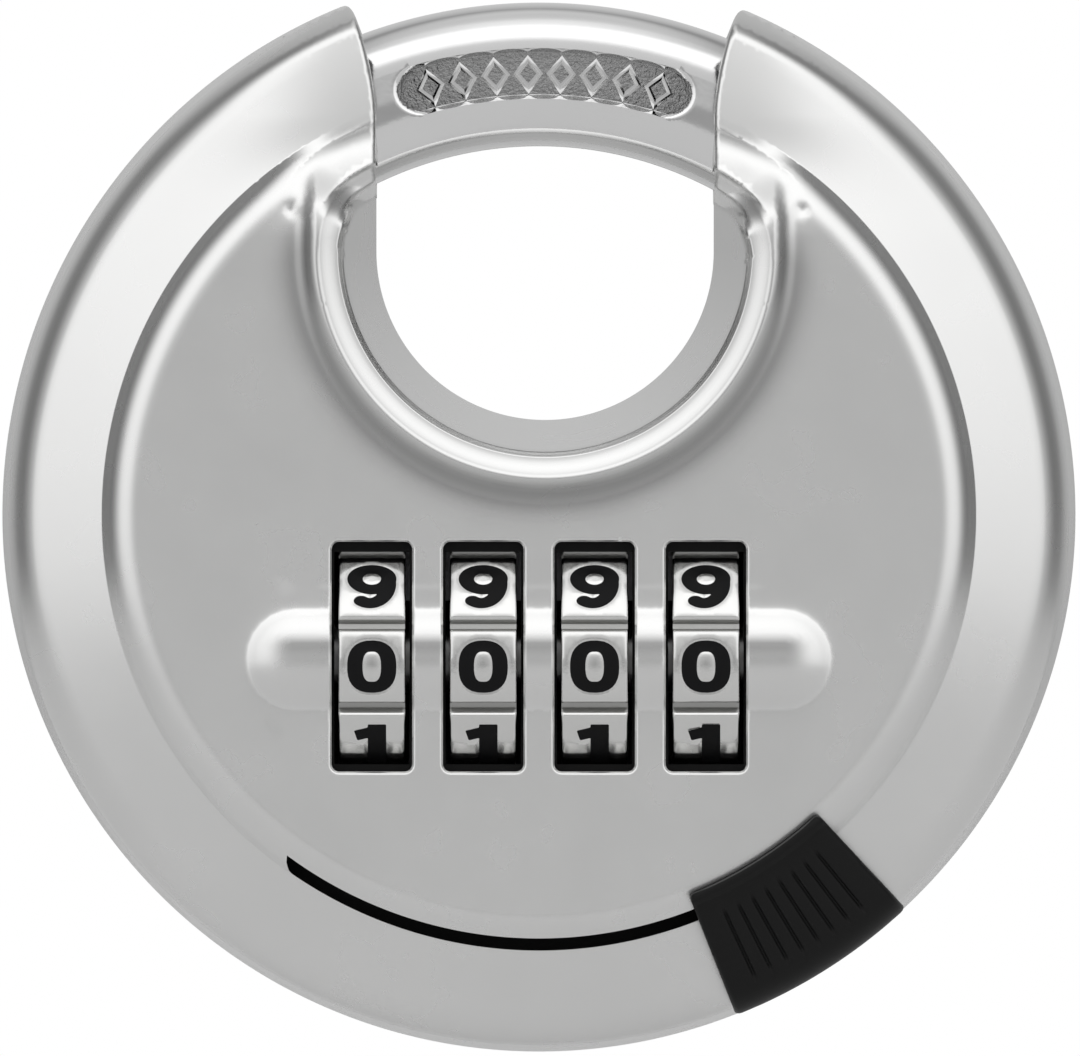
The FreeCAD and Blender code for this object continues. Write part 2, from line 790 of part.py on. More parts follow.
def spindle():
    """A rod with four fins and a thinner end for the bolt."""
    shaft = rod("X", "spindle_radius", on_axis("spindle_left"), "spindle_right - spindle_left")
    journal = rod("X", "journal_radius", on_axis("spindle_right"), "bolt_block_length", "Journal")
    fins = []
    for index in range(1, 5):
        left = f"{dial_centre(index)} + fin_offset"
        fins.append(
            box(
                (left, f"{left} + fin_width"),
                ("dial_axis_y + spindle_radius - 0.5", "dial_axis_y + fin_radius"),
                ("dial_axis_z - fin_height / 2", "dial_axis_z + fin_height / 2"),
                "Fin",
            )
        )
    shape = cut(fuse(shaft, journal, *fins), bolt_pin_rod(), name="Spindle")
    node(shape, "spindle")


def bolt_pin_rod():
    middle = "spindle_right + bolt_block_length / 2"
    start = (middle, "dial_axis_y", "dial_axis_z - bolt_block_half_height")
    return rod("Z", "bolt_pin_radius", start, "2 * bolt_block_half_height", "BoltPin")


def locking_bolt():
    """A block on the spindle's end, with a nose at the shackle's middle."""
    block = box(
        ("spindle_right", "spindle_right + bolt_block_length"),
        ("dial_axis_y - bolt_block_front", "bolt_half_depth"),
        ("dial_axis_z - bolt_block_half_height", "dial_axis_z + bolt_block_half_height"),
        "BoltBlock",
    )
    nose = box(
        ("spindle_right", "bolt_nose_tip"),
        ("-bolt_half_depth", "bolt_half_depth"),
        ("dial_axis_z - bolt_half_height", "dial_axis_z + bolt_half_height"),
        "BoltNose",
    )
    bore = rod("X", "journal_radius", on_axis("spindle_right - 1"), "bolt_block_length + 2", "BoltBore")
    shape = cut(fuse(block, nose), bore, bolt_pin_rod(), name="LockingBolt")
    node(shape, "locking_bolt")
    node(bolt_pin_rod(), "bolt_pin")


def bolt_spring():
    """A coil spring between the bracket and the spindle's left end."""
    helix = doc.addObject("Part::Helix", "SpringLine")
    space = "(spindle_left - bracket_face - 2 * spring_wire - 0.1)"
    bind(helix, Pitch=f"{space} / spring_turns", Height=space, Radius="spring_coil")
    wire = doc.addObject("Part::Circle", "SpringWire")
    wire.Placement = Placement(Vector(value("spring_coil"), 0, 0), Rotation(Vector(1, 0, 0), 90))
    bind(wire, Radius="spring_wire", Base_x="spring_coil")
    coil = doc.addObject("Part::Sweep", "BoltSpring")
    coil.Sections = [wire]
    coil.Spine = helix
    coil.Solid = True
    coil.Frenet = True
    coil.Placement = Placement(Vector(), TURN_TO["X"])
    bind(coil, Base_x="bracket_face + spring_wire + 0.05")
    bind(coil, Base_y="dial_axis_y", Base_z="dial_axis_z")
    node(coil, "bolt_spring")


# ---------------------------------------------------------------- chassis


def spring_bracket():
    """An angle on the chassis ear, with a pin that the spring sits on."""
    upright = box(
        ("bracket_face - bracket_gauge", "bracket_face"),
        ("dial_axis_y - bracket_half_height", "chassis_rear"),
        ("dial_axis_z - bracket_half_height", "dial_axis_z + bracket_half_height"),
        "BracketUpright",
    )
    foot = box(
        ("bracket_face - bracket_gauge", "-chassis_half_length - 0.5"),
        ("chassis_rear - bracket_gauge", "chassis_rear"),
        ("dial_axis_z - bracket_foot_half_height", "dial_axis_z + bracket_foot_half_height"),
        "BracketFoot",
    )
    start = on_axis("bracket_face - 0.5")
    pin = rod("X", "bracket_pin_radius", start, "bracket_pin_length", "BracketPin")
    node(fuse(upright, foot, pin, name="SpringBracket"), "spring_bracket")


DETENT_SCREWS = ("-dial_pitch", "dial_pitch")


def screw_places():
    for side in ("-", ""):
        for level in ("screw_low_z", "screw_high_z"):
            yield f"{side}screw_x", level


def plate_hole(x, z):
    """A screw's hole through the chassis plate and anything on its face."""
    return rod("Y", "fastener_radius", (x, "chassis_rear - 1", z), "plate_gauge + 2", "PlateHole")


def dial_chassis():
    """Back plate with ears, end walls, and partitions between the dials."""
    rear = ("chassis_rear", "chassis_rear + plate_gauge")
    depth = ("chassis_front", "chassis_rear + 0.2")
    height = ("chassis_low", "chassis_high")
    length = ("-chassis_half_length", "chassis_half_length")
    plate = box(length, rear, height, "BackPlate")
    ears = box(
        ("-ear_reach", "ear_reach"),
        rear,
        ("screw_low_z - 1.8", "screw_high_z + 1.8"),
        "Ears",
    )
    left_wall = box(("-chassis_half_length", "-chassis_inner"), depth, height, "LeftWall")
    right_wall = box(("chassis_inner", "chassis_half_length"), depth, height, "RightWall")
    partitions = []
    for index in range(1, 4):
        centre = dial_centre(index)
        across = (f"{centre} + partition_left", f"{centre} + partition_right")
        partitions.append(box(across, depth, ("chassis_low", "partition_top"), "Partition"))
    bore = rod("X", "spindle_radius + shaft_fit", on_axis("-20"), "40", "SpindleBore")
    keyway = box(
        ("-20", "20"),
        ("dial_axis_y", "dial_axis_y + fin_radius + 0.25"),
        ("dial_axis_z - fin_height / 2 - 0.2", "dial_axis_z + fin_height / 2 + 0.2"),
        "Keyway",
    )
    holes = [plate_hole(x, z) for x, z in screw_places()]
    holes += [plate_hole(x, "detent_screw_z") for x in DETENT_SCREWS]
    frame = fuse(plate, ears, left_wall, right_wall, *partitions, name="ChassisBlank")
    node(cut(frame, bore, keyway, *holes, name="DialChassis"), "dial_chassis")


def chassis_fasteners():
    """Four standoffs on the rear shell, each with a screw through the chassis ear."""
    standoffs = []
    screws = []
    back = "chassis_rear + plate_gauge"
    for x, z in screw_places():
        post = rod("Y", "standoff_radius", (x, back, z), f"inner_face - ({back})", "StandoffPost")
        hole = rod("Y", "fastener_radius", (x, back, z), "fastener_bite + 0.2", "StandoffHole")
        standoffs.append(cut(post, hole, name="Standoff"))
        length = "plate_gauge + fastener_bite"
        shaft = rod("Y", "fastener_radius", (x, "chassis_rear", z), length, "ScrewShaft")
        start = (x, "chassis_rear - fastener_head_height", z)
        head = rod("Y", "fastener_head", start, "fastener_head_height", "ScrewHead")
        screws.append(fuse(shaft, head, name="ChassisScrew"))
    node(group(*standoffs, name="ChassisStandoffs"), "chassis_standoffs")
    node(group(*screws, name="ChassisScrews"), "chassis_screws")


def detent_spring():
    """A strip with one leaf for each dial, leaning just clear of its crown."""
    face = "chassis_rear - detent_gauge"
    length = ("-detent_half_length", "detent_half_length")
    strip = box(length, (face, "chassis_rear"), ("detent_low", "detent_high"), "DetentStrip")
    leaves = []
    for index in range(1, 5):
        leaf = box(
            (f"{dial_centre(index)} - leaf_half_width", f"{dial_centre(index)} + leaf_half_width"),
            ("-leaf_gauge", "0"),
            ("0", "leaf_length"),
            "DetentLeaf",
        )
        holder = doc.addObject("Part::Compound", "LeafHolder")
        holder.Links = [leaf]
        holder.Placement = Placement(Vector(), Rotation(Vector(1, 0, 0), LEAF_LEAN))
        leaves.append(bind(holder, Base_y="chassis_rear - 0.05", Base_z="leaf_foot_z"))
    holes = [plate_hole(x, "detent_screw_z") for x in DETENT_SCREWS]
    node(cut(fuse(strip, *leaves), *holes, name="DetentSpring"), "detent_spring")
    screws = []
    for x in DETENT_SCREWS:
        length = "detent_gauge + plate_gauge"
        shaft = rod("Y", "fastener_radius", (x, face, "detent_screw_z"), length, "ScrewShaft")
        start = (x, f"{face} - detent_head_height", "detent_screw_z")
        head = rod("Y", "detent_head", start, "detent_head_height", "ScrewHead")
        screws.append(fuse(shaft, head, name="DetentScrew"))
    node(group(*screws, name="DetentScrews"), "detent_screws")


def dial_bezel():
    """A dark plate between the panel and the chassis walls, its windows closest in front."""
    length = ("-bezel_half_length", "bezel_half_length")
    level = ("-inner_face", "chassis_front")
    plate = box(length, level, ("bezel_low", "bezel_high"), "BezelPlate")
    behind_lip = ("-inner_face + bezel_lip", "chassis_front + 1")
    through = ("-inner_face - 1", "chassis_front + 1")
    half_width = "(dial_width / 2 + running_gap)"
    windows = []
    for index in range(1, 5):
        centre = dial_centre(index)
        across = (f"{centre} - {half_width}", f"{centre} + {half_width}")
        for half, depth in (("window_half_height", behind_lip), ("bezel_half_height", through)):
            along = (f"dial_axis_z - {half}", f"dial_axis_z + {half}")
            windows.append(box(across, depth, along, "BezelWindow"))
    node(cut(plate, *windows, name="DialBezel"), "dial_bezel")


def drill_plate():
    """A hardened plate in front of the bolt."""
    depth = ("-inner_face", "-inner_face + plate_gauge")
    plate = box(("drill_left", "drill_right"), depth, ("drill_low", "drill_high"), "DrillPlate")
    node(plate, "drill_plate")


# ---------------------------------------------------------------- guides and seals


def shackle_guide():
    """Arc rail on the rear shell, inside the shackle on its right."""
    depth = ("-ring_half_depth", "inner_face")
    rail = sector("guide_inner", "ring_inner - running_gap", depth, *GUIDE_TURNS, "Guide")
    node(rail, "shackle_guide")


def travel_stops():
    """Blocks at the two ends of the shackle's travel."""
    depth = ("-ring_half_depth", "stop_rear")
    tail = "-(shackle_tail_angle + shackle_travel)"
    ends = (f"{tail} - 12", f"{tail} - 1")
    node(sector("open_stop_inner", "stop_outer", depth, *ends, "OpenStop"), "open_stop")
    ends = ("shackle_tip_angle + 1", "shackle_tip_angle + 9")
    node(sector("closed_stop_inner", "stop_outer", depth, *ends, "ClosedStop"), "closed_stop")


def horn_seals():
    """U-shaped plates round the shackle where it enters each horn."""
    depth = "ring_half_depth + running_gap"
    for label, side in (("horn_seal_left", -1), ("horn_seal_right", 1)):
        near = f"throat_centre_x + {side} * seal_near"
        far = f"throat_centre_x + {side} * seal_far"
        across = (far, near) if side < 0 else (near, far)
        depth_span = ("-seal_half_depth", "seal_half_depth")
        plate = box(across, depth_span, ("seal_low", "seal_high"), "SealPlate")
        channel = sector(
            "ring_inner - running_gap",
            "ring_outer + 3",
            (f"-({depth})", depth),
            "40",
            "140",
            "SealChannel",
        )
        node(cut(plate, channel, name="HornSeal"), label)


# ---------------------------------------------------------------- build, check and export


def build():
    front_shell()
    rear_shell()
    shell_posts()
    shackle()
    tab_carrier(thumb_tab())
    dust_strip()
    for index in range(1, 5):
        dial(index)
        clutch_sleeve(index)
    spindle()
    locking_bolt()
    bolt_spring()
    spring_bracket()
    dial_chassis()
    chassis_fasteners()
    detent_spring()
    dial_bezel()
    drill_plate()
    shackle_guide()
    travel_stops()
    horn_seals()
    doc.recompute()


def check():
    """Stop if any object failed or any piece isn't a sound solid."""
    for thing in doc.Objects:
        if {"Invalid", "Error"} & set(thing.State):
            raise RuntimeError(f"{thing.Name} ({thing.Label}) failed: {thing.State}")
    for thing in NODES:
        shape = thing.Shape
        if shape.isNull() or not shape.isValid() or not shape.Solids:
            raise RuntimeError(f"{thing.Label} isn't a valid solid")


def export():
    os.makedirs("parts", exist_ok=True)
    for thing in NODES:
        thing.Shape.exportStep(f"parts/{thing.Label}.step")
        room = thing.Shape.BoundBox
        print(f"{thing.Label}: {len(thing.Shape.Solids)} solids, {thing.Shape.Volume:.1f} mm3,")
        print(f"    {room.XLength:.1f} x {room.YLength:.1f} x {room.ZLength:.1f} mm")


build()
check()
export()
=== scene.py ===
"""Looks for the disc padlock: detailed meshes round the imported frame, finishes, light, camera.

Shapes are worked out in millimetres in the CAD frame (X right, Y to the rear, Z up,
origin at the disc's centre) and written to the meshes in metres.
"""

import json
import math

import bmesh
import bpy
import numpy as np
from mathutils import Matrix, Vector
from mathutils.geometry import delaunay_2d_cdt


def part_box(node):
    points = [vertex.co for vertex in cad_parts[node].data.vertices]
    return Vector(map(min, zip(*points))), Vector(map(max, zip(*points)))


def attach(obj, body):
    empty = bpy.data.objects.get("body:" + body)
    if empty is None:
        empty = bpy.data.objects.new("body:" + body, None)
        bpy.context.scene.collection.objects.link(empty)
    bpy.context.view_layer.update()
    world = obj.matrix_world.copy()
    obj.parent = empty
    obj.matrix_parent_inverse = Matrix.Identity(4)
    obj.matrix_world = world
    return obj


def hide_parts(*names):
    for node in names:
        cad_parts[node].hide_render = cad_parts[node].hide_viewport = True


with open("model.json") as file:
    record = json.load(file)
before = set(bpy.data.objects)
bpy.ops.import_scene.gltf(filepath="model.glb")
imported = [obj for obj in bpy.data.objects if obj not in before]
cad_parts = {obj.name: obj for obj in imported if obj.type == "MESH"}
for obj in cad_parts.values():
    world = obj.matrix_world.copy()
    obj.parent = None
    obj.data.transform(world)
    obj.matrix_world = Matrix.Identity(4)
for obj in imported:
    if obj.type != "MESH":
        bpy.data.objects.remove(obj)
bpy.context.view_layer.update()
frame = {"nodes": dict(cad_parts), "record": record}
MM = 0.001

# ---- sizes, in millimetres

SHELL_LOW, SHELL_HIGH = (np.array(corner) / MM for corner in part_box("front_shell"))
DISC_RADIUS = round((SHELL_HIGH[0] - SHELL_LOW[0]) / 2, 1)
WALL_TOP = (DISC_RADIUS - 0.5, 6.0)
SHOULDER = (DISC_RADIUS - 2.8, 9.0)
CREASE = (DISC_RADIUS - 6.6, 10.4)
STEP = (DISC_RADIUS - 7.1, 11.1)
PLATEAU = (DISC_RADIUS - 9.1, 12.0)
BEND, PLATEAU_BEND = 3.4, 2.6
GAUGE = 1.1

THROAT_X, THROAT_Z, THROAT_R = 0.4, 17.2, 11.0
THROAT_TOP = 36.0
LEAN = 2.1  # how far the throat's wall leans out from the seam to the bead's foot
CREST = 3.75
BEAD_RISE, BEAD_FALL = 0.95, 0.9
BEAD_FADE = (24.6, 28.0)
LIP = 5.3
FLARE, FLARE_START, FLARE_HEIGHT = 1.55, 26.0, 7.1
TIP_BEND = 0.8
SWELL = 0.66

# Where the horns' collar takes over from the plain rim: distance from the throat, and height
HORN_RIM_REACH, HORN_RIM_HEIGHT = (0.6, 16.0), (19.0, 26.0)
HORN_PANEL_REACH, HORN_PANEL_HEIGHT = (2.0, 9.0), (18.0, 25.0)

DIMPLE_R, DIMPLE_DEPTH = 0.42, 0.16
THROAT_ROLL = 0.4
WINDOW_ROLL, WINDOW_ROLL_DEPTH = 0.2, 0.16

# Painted shade: the base colour is darkened in the valley outside the bead, fading out further from
# the disc's centre
PAINTED_SHADE_BEYOND, PAINTED_SHADE_SPREAD, PAINTED_SHADE_FADE = 1.05, (0.7, 1.4), (23.0, 26.0)
# A darker band along the guard bar just above its middle line, fading out past the bar's ends
GUARD_BAND_ABOVE, GUARD_BAND_SPREAD, GUARD_BAND_TONE, GUARD_BAND_FADE = 0.95, (0.8, 0.4), 0.9, (0.2, 2.2)

GUARD_HALF, GUARD_REACH, GUARD_RISE = 15.8, 3.15, 0.95
GUARD_R = (GUARD_REACH**2 + GUARD_RISE**2) / (2 * GUARD_RISE)
GUARD_CENTRE = PLATEAU[1] + GUARD_RISE - GUARD_R
GUARD_BLEND = 0.12

DIAL_LOW, DIAL_HIGH = (np.array(corner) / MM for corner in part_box("dial_1"))
DIAL_Y = (DIAL_LOW[1] + DIAL_HIGH[1]) / 2
DIAL_Z = (DIAL_LOW[2] + DIAL_HIGH[2]) / 2
DIAL_R = (DIAL_HIGH[2] - DIAL_LOW[2]) / 2 + 0.02
DIAL_HALF = (DIAL_HIGH[0] - DIAL_LOW[0]) / 2
DIAL_X = [
    float(sum(corner[0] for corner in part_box(f"dial_{number}")) / 2 / MM)
    for number in range(1, 5)
]
DIAL_BORE = 5.0
WINDOW_HALF = (2.62, 7.47)
WINDOW_Z = DIAL_Z + 0.1
DIAL_REST = math.radians(-3.6)
WINDOW_CORNER = 0.5

SLOT_R = (27.5, 28.3)
SLOT_END, SLOT_START = -126.5, -47.0
SLOT_TAPER = 1.6  # degrees: the round end starts just past the carrier's blade at full travel
TAB_START, TAB_END = -47.0, -68.5

RING_IN, RING_OUT, RING_HALF = 24.07, 33.4, 4.8
RING_TIP, RING_TAIL = 122.0, -75.0
SHACKLE_TRAVEL = 58.0

# ---- small maths


def ease(low, high, x):
    """0 below low, 1 above high, smooth between."""
    t = np.clip((np.asarray(x, float) - low) / (high - low), 0, 1)
    return t * t * (3 - 2 * t)


def arc_points(start, end, radius, count=24):
    """Points on a short arc from start to end; a positive radius bulges to the right."""
    start, end = np.array(start, float), np.array(end, float)
    chord = end - start
    length = np.hypot(*chord)
    rise = math.sqrt(radius**2 - (length / 2) ** 2)
    left = np.array((-chord[1], chord[0])) / length
    centre = (start + end) / 2 + left * rise * math.copysign(1, radius)
    first, last = (math.atan2(*(point - centre)[::-1]) for point in (start, end))
    sweep = (last - first + math.pi) % (2 * math.pi) - math.pi
    turns = first + sweep * np.linspace(0, 1, count)
    return [tuple(centre + abs(radius) * np.array((math.cos(t), math.sin(t)))) for t in turns]


def polar(radius, degrees):
    """Points at a radius and angles, anticlockwise from +X."""
    turn = np.radians(degrees)
    return np.stack((radius * np.cos(turn), radius * np.sin(turn)), -1)


def inside(points, loop):
    """Which points lie inside a closed loop."""
    x, z = points[:, 0], points[:, 1]
    odd = np.zeros(len(points), bool)
    for (x0, z0), (x1, z1) in zip(loop, np.roll(loop, -1, axis=0)):
        if z0 == z1:
            continue
        crosses = (z0 > z) != (z1 > z)
        odd ^= crosses & (x < (x1 - x0) * (z - z0) / (z1 - z0) + x0)
    return odd


def soft_max(a, b, reach):
    """The larger of two values, rounded over where they are within about reach."""
    return (a + b + np.sqrt((a - b) ** 2 + reach**2)) / 2


# ---- shell surface

RIM = (
    [(DISC_RADIUS, 0.0)]
    + arc_points(WALL_TOP, SHOULDER, BEND)
    + [CREASE]
    + arc_points(STEP, PLATEAU, PLATEAU_BEND)
    + [(0.0, PLATEAU[1])]
)[::-1]
RIM_R, RIM_H = np.array(RIM).T

# At the mouths the crease fades and the rim swells into a round collar about the shackle.
COLLAR = (
    [(DISC_RADIUS, 0.0)]
    + arc_points((DISC_RADIUS - 0.15, 6.3), (DISC_RADIUS - 1.1, 8.9), 20.0)
    + arc_points((DISC_RADIUS - 1.1, 8.9), (DISC_RADIUS - 2.0, 9.65), 1.22)
    + arc_points((DISC_RADIUS - 2.0, 9.65), CREASE, 58.0)
    + arc_points(CREASE, (DISC_RADIUS - 9.0, 10.5), 20.9)
    + [(0.0, 10.5)]
)[::-1]
COLLAR_R, COLLAR_H = np.array(COLLAR).T
# Sections of the throat's edge: distance in from its foot, and drop from the crest there.
BEAD_SIDE = (
    arc_points((CREST - LEAN, 0.0), (0.35, -0.5), -2.95, 14)
    + arc_points((0.35, -0.5), (0.0, -1.1), -0.83, 10)
)[::-1]
SLEEVE_SIDE = (
    [(4.6, 0.0)]
    + arc_points((4.35, 0.0), (2.0, -0.55), -5.2, 12)
    + arc_points((1.95, -0.58), (0.85, -1.95), -2.3, 12)
    + [(0.0, -5.3)]
)[::-1]
BEAD_IN, BEAD_DROP = np.array(BEAD_SIDE).T
SLEEVE_IN, SLEEVE_DROP = np.array(SLEEVE_SIDE).T
SLEEVE_INNER_R = 23.5
MOUTH_TOP = 33.0
DIMPLES = ((-16.1, 19.8), (17.1, 19.8))


def swelling(x, z):
    """How far the rim stands out beyond the disc: nothing at the middle, most at the horns."""
    return SWELL * np.clip(z / np.maximum(np.hypot(x, z), 1.0), 0, 1) ** 2


def rim_radius(x, z):
    """Radius as on the plain disc, with the swelling taken off across the rim."""
    radius = np.hypot(x, z)
    width, swell = DISC_RADIUS - CREASE[0], swelling(x, z)
    return radius - swell * np.clip((radius - CREASE[0]) / (width + swell), 0, 1)


def rim_line(radius, degrees):
    """Points of one rim_radius at the given angles."""
    way = polar(1.0, degrees)
    share = max(0.0, (radius - CREASE[0]) / (DISC_RADIUS - CREASE[0]))
    return way * (radius + swelling(*way.T) * share)[:, None]


def throat_flare(z):
    """How far each side of the throat stands out above its straight part."""
    return FLARE * np.clip((z - FLARE_START) / FLARE_HEIGHT, 0, None) ** 1.6


def throat_distance(x, z):
    """Distance outside the throat's outline at the seam."""
    across = x - THROAT_X
    bowl = np.hypot(across, z - THROAT_Z)
    return np.where(z < THROAT_Z, bowl, np.abs(across) - throat_flare(z)) - THROAT_R


def rounded_box_distance(x, z, half, corner):
    """Signed distance to a rounded rectangle about the origin."""
    dx, dz = np.abs(x) - half[0] + corner, np.abs(z) - half[1] + corner
    outside = np.hypot(np.maximum(dx, 0), np.maximum(dz, 0))
    return outside + np.minimum(np.maximum(dx, dz), 0) - corner


def window_distance(x, z):
    """Distance outside the nearest dial window."""
    near = [rounded_box_distance(x - c, z - WINDOW_Z, WINDOW_HALF, WINDOW_CORNER) for c in DIAL_X]
    return np.min(near, axis=0)


def guard_distance(x, z):
    """Distance from the guard bar's middle line."""
    return np.hypot(np.maximum(np.abs(x) - GUARD_HALF, 0), z - DIAL_Z)


def edge_inset(x, z):
    """Distance in from the foot of the bead or collar, and how far it is the collar's."""
    beside = throat_distance(x, z) - LEAN
    above = np.where(z > THROAT_Z - 4, np.hypot(x, z) - SLEEVE_INNER_R, -9.0)
    inset = soft_max(beside, above, 1.5 * ease(-4.0, 0.0, above - beside))
    return inset, ease(-1.0, 2.0, above - beside)


def edge_lines(inset):
    """Points of one edge_inset where it swings from the throat's side to the mouth."""
    last = LEAN + inset
    gap = last - np.concatenate((np.geomspace(0.004, 0.4, 24), np.arange(0.5, last, 0.12)))
    lines = []
    for side in (-1, 1):
        low, high = np.full(len(gap), THROAT_Z - 3.5), np.full(len(gap), MOUTH_TOP)
        for _ in range(30):
            z = (low + high) / 2
            x = THROAT_X + side * (THROAT_R + gap + throat_flare(z))
            short = edge_inset(x, z)[0] < inset
            low, high = np.where(short, z, low), np.where(short, high, z)
        lines.append(np.stack((x, z), -1)[z < MOUTH_TOP - 0.1])
    return np.concatenate(lines)


def shell_height(x, z, front=True, edges=True):
    """Height of the skin above the seam."""
    radius, gap = rim_radius(x, z), throat_distance(x, z)
    flatter = (1 - ease(*HORN_RIM_REACH, gap)) * ease(*HORN_RIM_HEIGHT, z)
    joined = (1 - ease(*HORN_PANEL_REACH, gap)) * ease(*HORN_PANEL_HEIGHT, z)
    horn = np.where(radius > CREASE[0], flatter, joined)
    base = np.interp(radius, RIM_R, RIM_H) * (1 - horn)
    base = base + np.interp(radius, COLLAR_R, COLLAR_H) * horn
    rise = BEAD_RISE * (1 - ease(*BEAD_FADE, radius))
    crest = base + rise
    bead = np.exp(-((np.maximum(gap - CREST, 0) / BEAD_FALL) ** 2))
    inset, collar = edge_inset(x, z)
    drop = np.interp(inset, BEAD_IN, BEAD_DROP) * (1 - collar)
    drop = drop + np.interp(inset, SLEEVE_IN, SLEEVE_DROP) * collar
    lip = np.where(radius < CREASE[0], LIP * collar, 0)
    skin = np.where(inset > 0, np.maximum(base + rise * bead + drop, lip), 0)
    if edges:
        edge = np.clip(1 - gap / THROAT_ROLL, 0, 1)
        skin = skin - THROAT_ROLL * (1 - np.sqrt(1 - edge**2))
    wall = (crest + BEAD_DROP[0]) * gap / LEAN
    height = np.where(gap < LEAN, np.maximum(wall, skin), skin)
    for dimple_x, dimple_z in DIMPLES:
        reach = np.hypot(x - dimple_x, z - dimple_z) / DIMPLE_R
        height = height - DIMPLE_DEPTH * np.exp(-(reach**2))
    if not front:
        return height
    along = guard_distance(x, z)
    bar = GUARD_CENTRE + np.sqrt(np.maximum(GUARD_R**2 - along**2, 0))
    height = np.where(along < GUARD_REACH + 1.5, soft_max(height, bar, GUARD_BLEND), height)
    if edges:
        turned_in = np.clip(1 - window_distance(x, z) / WINDOW_ROLL, 0, 1)
        height = height - WINDOW_ROLL_DEPTH * turned_in**2
    return height


def shade_and_band_tone(x, z, front):
    """How dark a point's base colour is painted: painted shade in the valley outside the bead, and a
    darker band along the guard bar above its middle line.
    """
    beyond = throat_distance(x, z) - CREST - PAINTED_SHADE_BEYOND
    tone = np.exp(-((beyond / np.where(beyond < 0, *PAINTED_SHADE_SPREAD)) ** 2))
    tone = tone * (1 - ease(*PAINTED_SHADE_FADE, np.hypot(x, z)))
    if not front:
        return tone
    over_bar = z - DIAL_Z - GUARD_BAND_ABOVE
    bar = np.exp(-((over_bar / np.where(over_bar < 0, *GUARD_BAND_SPREAD)) ** 2))
    return np.maximum(tone, GUARD_BAND_TONE * bar * (1 - ease(*GUARD_BAND_FADE, np.abs(x) - GUARD_HALF)))


def shell_normal(x, z, side, **how):
    """Outward normals from the slope of the height, and straight outwards at the seam."""
    step = 0.03
    slope_x = (shell_height(x + step, z, **how) - shell_height(x - step, z, **how)) / (2 * step)
    slope_z = (shell_height(x, z + step, **how) - shell_height(x, z - step, **how)) / (2 * step)
    normal = np.stack((-slope_x, np.full_like(slope_x, side), -slope_z), -1)
    normal /= np.linalg.norm(normal, axis=1, keepdims=True)
    seam = (rim_radius(x, z) > DISC_RADIUS - 0.01)[:, None]
    outward = np.stack((x, np.zeros_like(x), z), -1) / np.hypot(x, z)[:, None]
    return np.where(seam, outward, normal)


# ---- shell outline and points


def throat_line(gap, step=0.4):
    """Points at one distance from the throat: up one side, round the bowl, up the other."""
    radius = THROAT_R + gap
    bowl = polar(radius, np.linspace(-180, 0, int(50 / step))) + (THROAT_X, THROAT_Z)
    rise = np.arange(THROAT_Z + step, THROAT_TOP, step)
    reach = radius + throat_flare(rise)
    left = np.stack((THROAT_X - reach, rise), -1)[::-1]
    right = np.stack((THROAT_X + reach, rise), -1)
    return np.concatenate((left, bowl, right))


def disc_outline():
    """The edge of a half shell: round the disc, then down into the throat and back."""
    throat = throat_line(0.0, step=0.2)
    throat = throat[np.hypot(*throat.T) < DISC_RADIUS - TIP_BEND]
    tips, turns = [], []
    for end, beside in ((throat[0], throat[1]), (throat[-1], throat[-2])):
        along = (end - beside) / np.linalg.norm(end - beside)
        middle = float(end @ along)
        reach = DISC_RADIUS + float(swelling(*end))
        spare = reach**2 - float(end @ end)
        tip = end + along * (math.sqrt(middle**2 + spare) - middle)
        turn = math.degrees(math.atan2(tip[1], tip[0]))
        turns.append(turn - math.copysign(math.degrees(TIP_BEND / DISC_RADIUS), tip[0]))
        start = rim_line(DISC_RADIUS, turns[-1:])[0]
        t = np.linspace(0, 1, 8)[1:-1, None]
        tips.append(start * (1 - t) ** 2 + 2 * tip * t * (1 - t) + end * t**2)
    rim = rim_line(DISC_RADIUS, np.linspace(turns[1], turns[0] - 360, 480))
    return np.concatenate((rim, tips[0], throat, tips[1][::-1]))


def rounded_rectangle(centre, half, corner, grow=0.0, step=0.3):
    """Loop of a rounded rectangle, grown outwards by grow."""
    reach = (half[0] - corner, half[1] - corner)
    loop = []
    for quarter, (sx, sz) in enumerate(((1, 1), (-1, 1), (-1, -1), (1, -1))):
        bend = polar(corner + grow, np.linspace(quarter * 90, quarter * 90 + 90, 7))
        bend += (centre[0] + sx * reach[0], centre[1] + sz * reach[1])
        if loop:
            loop += straight(loop[-1], bend[0], step)
        loop += list(bend)
    loop += straight(loop[-1], loop[0], step)
    return np.array(loop)


def straight(start, end, step):
    """Points between two ends, without the ends."""
    way = np.subtract(end, start)
    count = max(1, int(np.linalg.norm(way) / step))
    return [start + way * t for t in np.linspace(0, 1, count + 1)[1:-1]]


def slot_width(degrees):
    """The arc slot's width: full as far as the carrier's blade travels, then a round end."""
    return (SLOT_R[1] - SLOT_R[0]) * np.clip((degrees - SLOT_END) / SLOT_TAPER, 0, 1) ** 0.6


def slot_loop():
    """The arc slot's outline."""
    turns = np.linspace(SLOT_START, SLOT_END, 170)
    inner = polar(SLOT_R[0], turns)
    outer = polar(SLOT_R[0] + slot_width(turns), turns)[:-1][::-1]
    return np.concatenate((inner, outer))


def slot_distance(x, z):
    """Rough distance outside the arc slot."""
    beyond = np.abs(np.hypot(x, z) - sum(SLOT_R) / 2) - (SLOT_R[1] - SLOT_R[0]) / 2
    turn = np.degrees(np.arctan2(z, x))
    past = np.maximum(turn - SLOT_START, SLOT_END - turn) * math.radians(SLOT_R[0])
    return np.maximum(beyond, past)


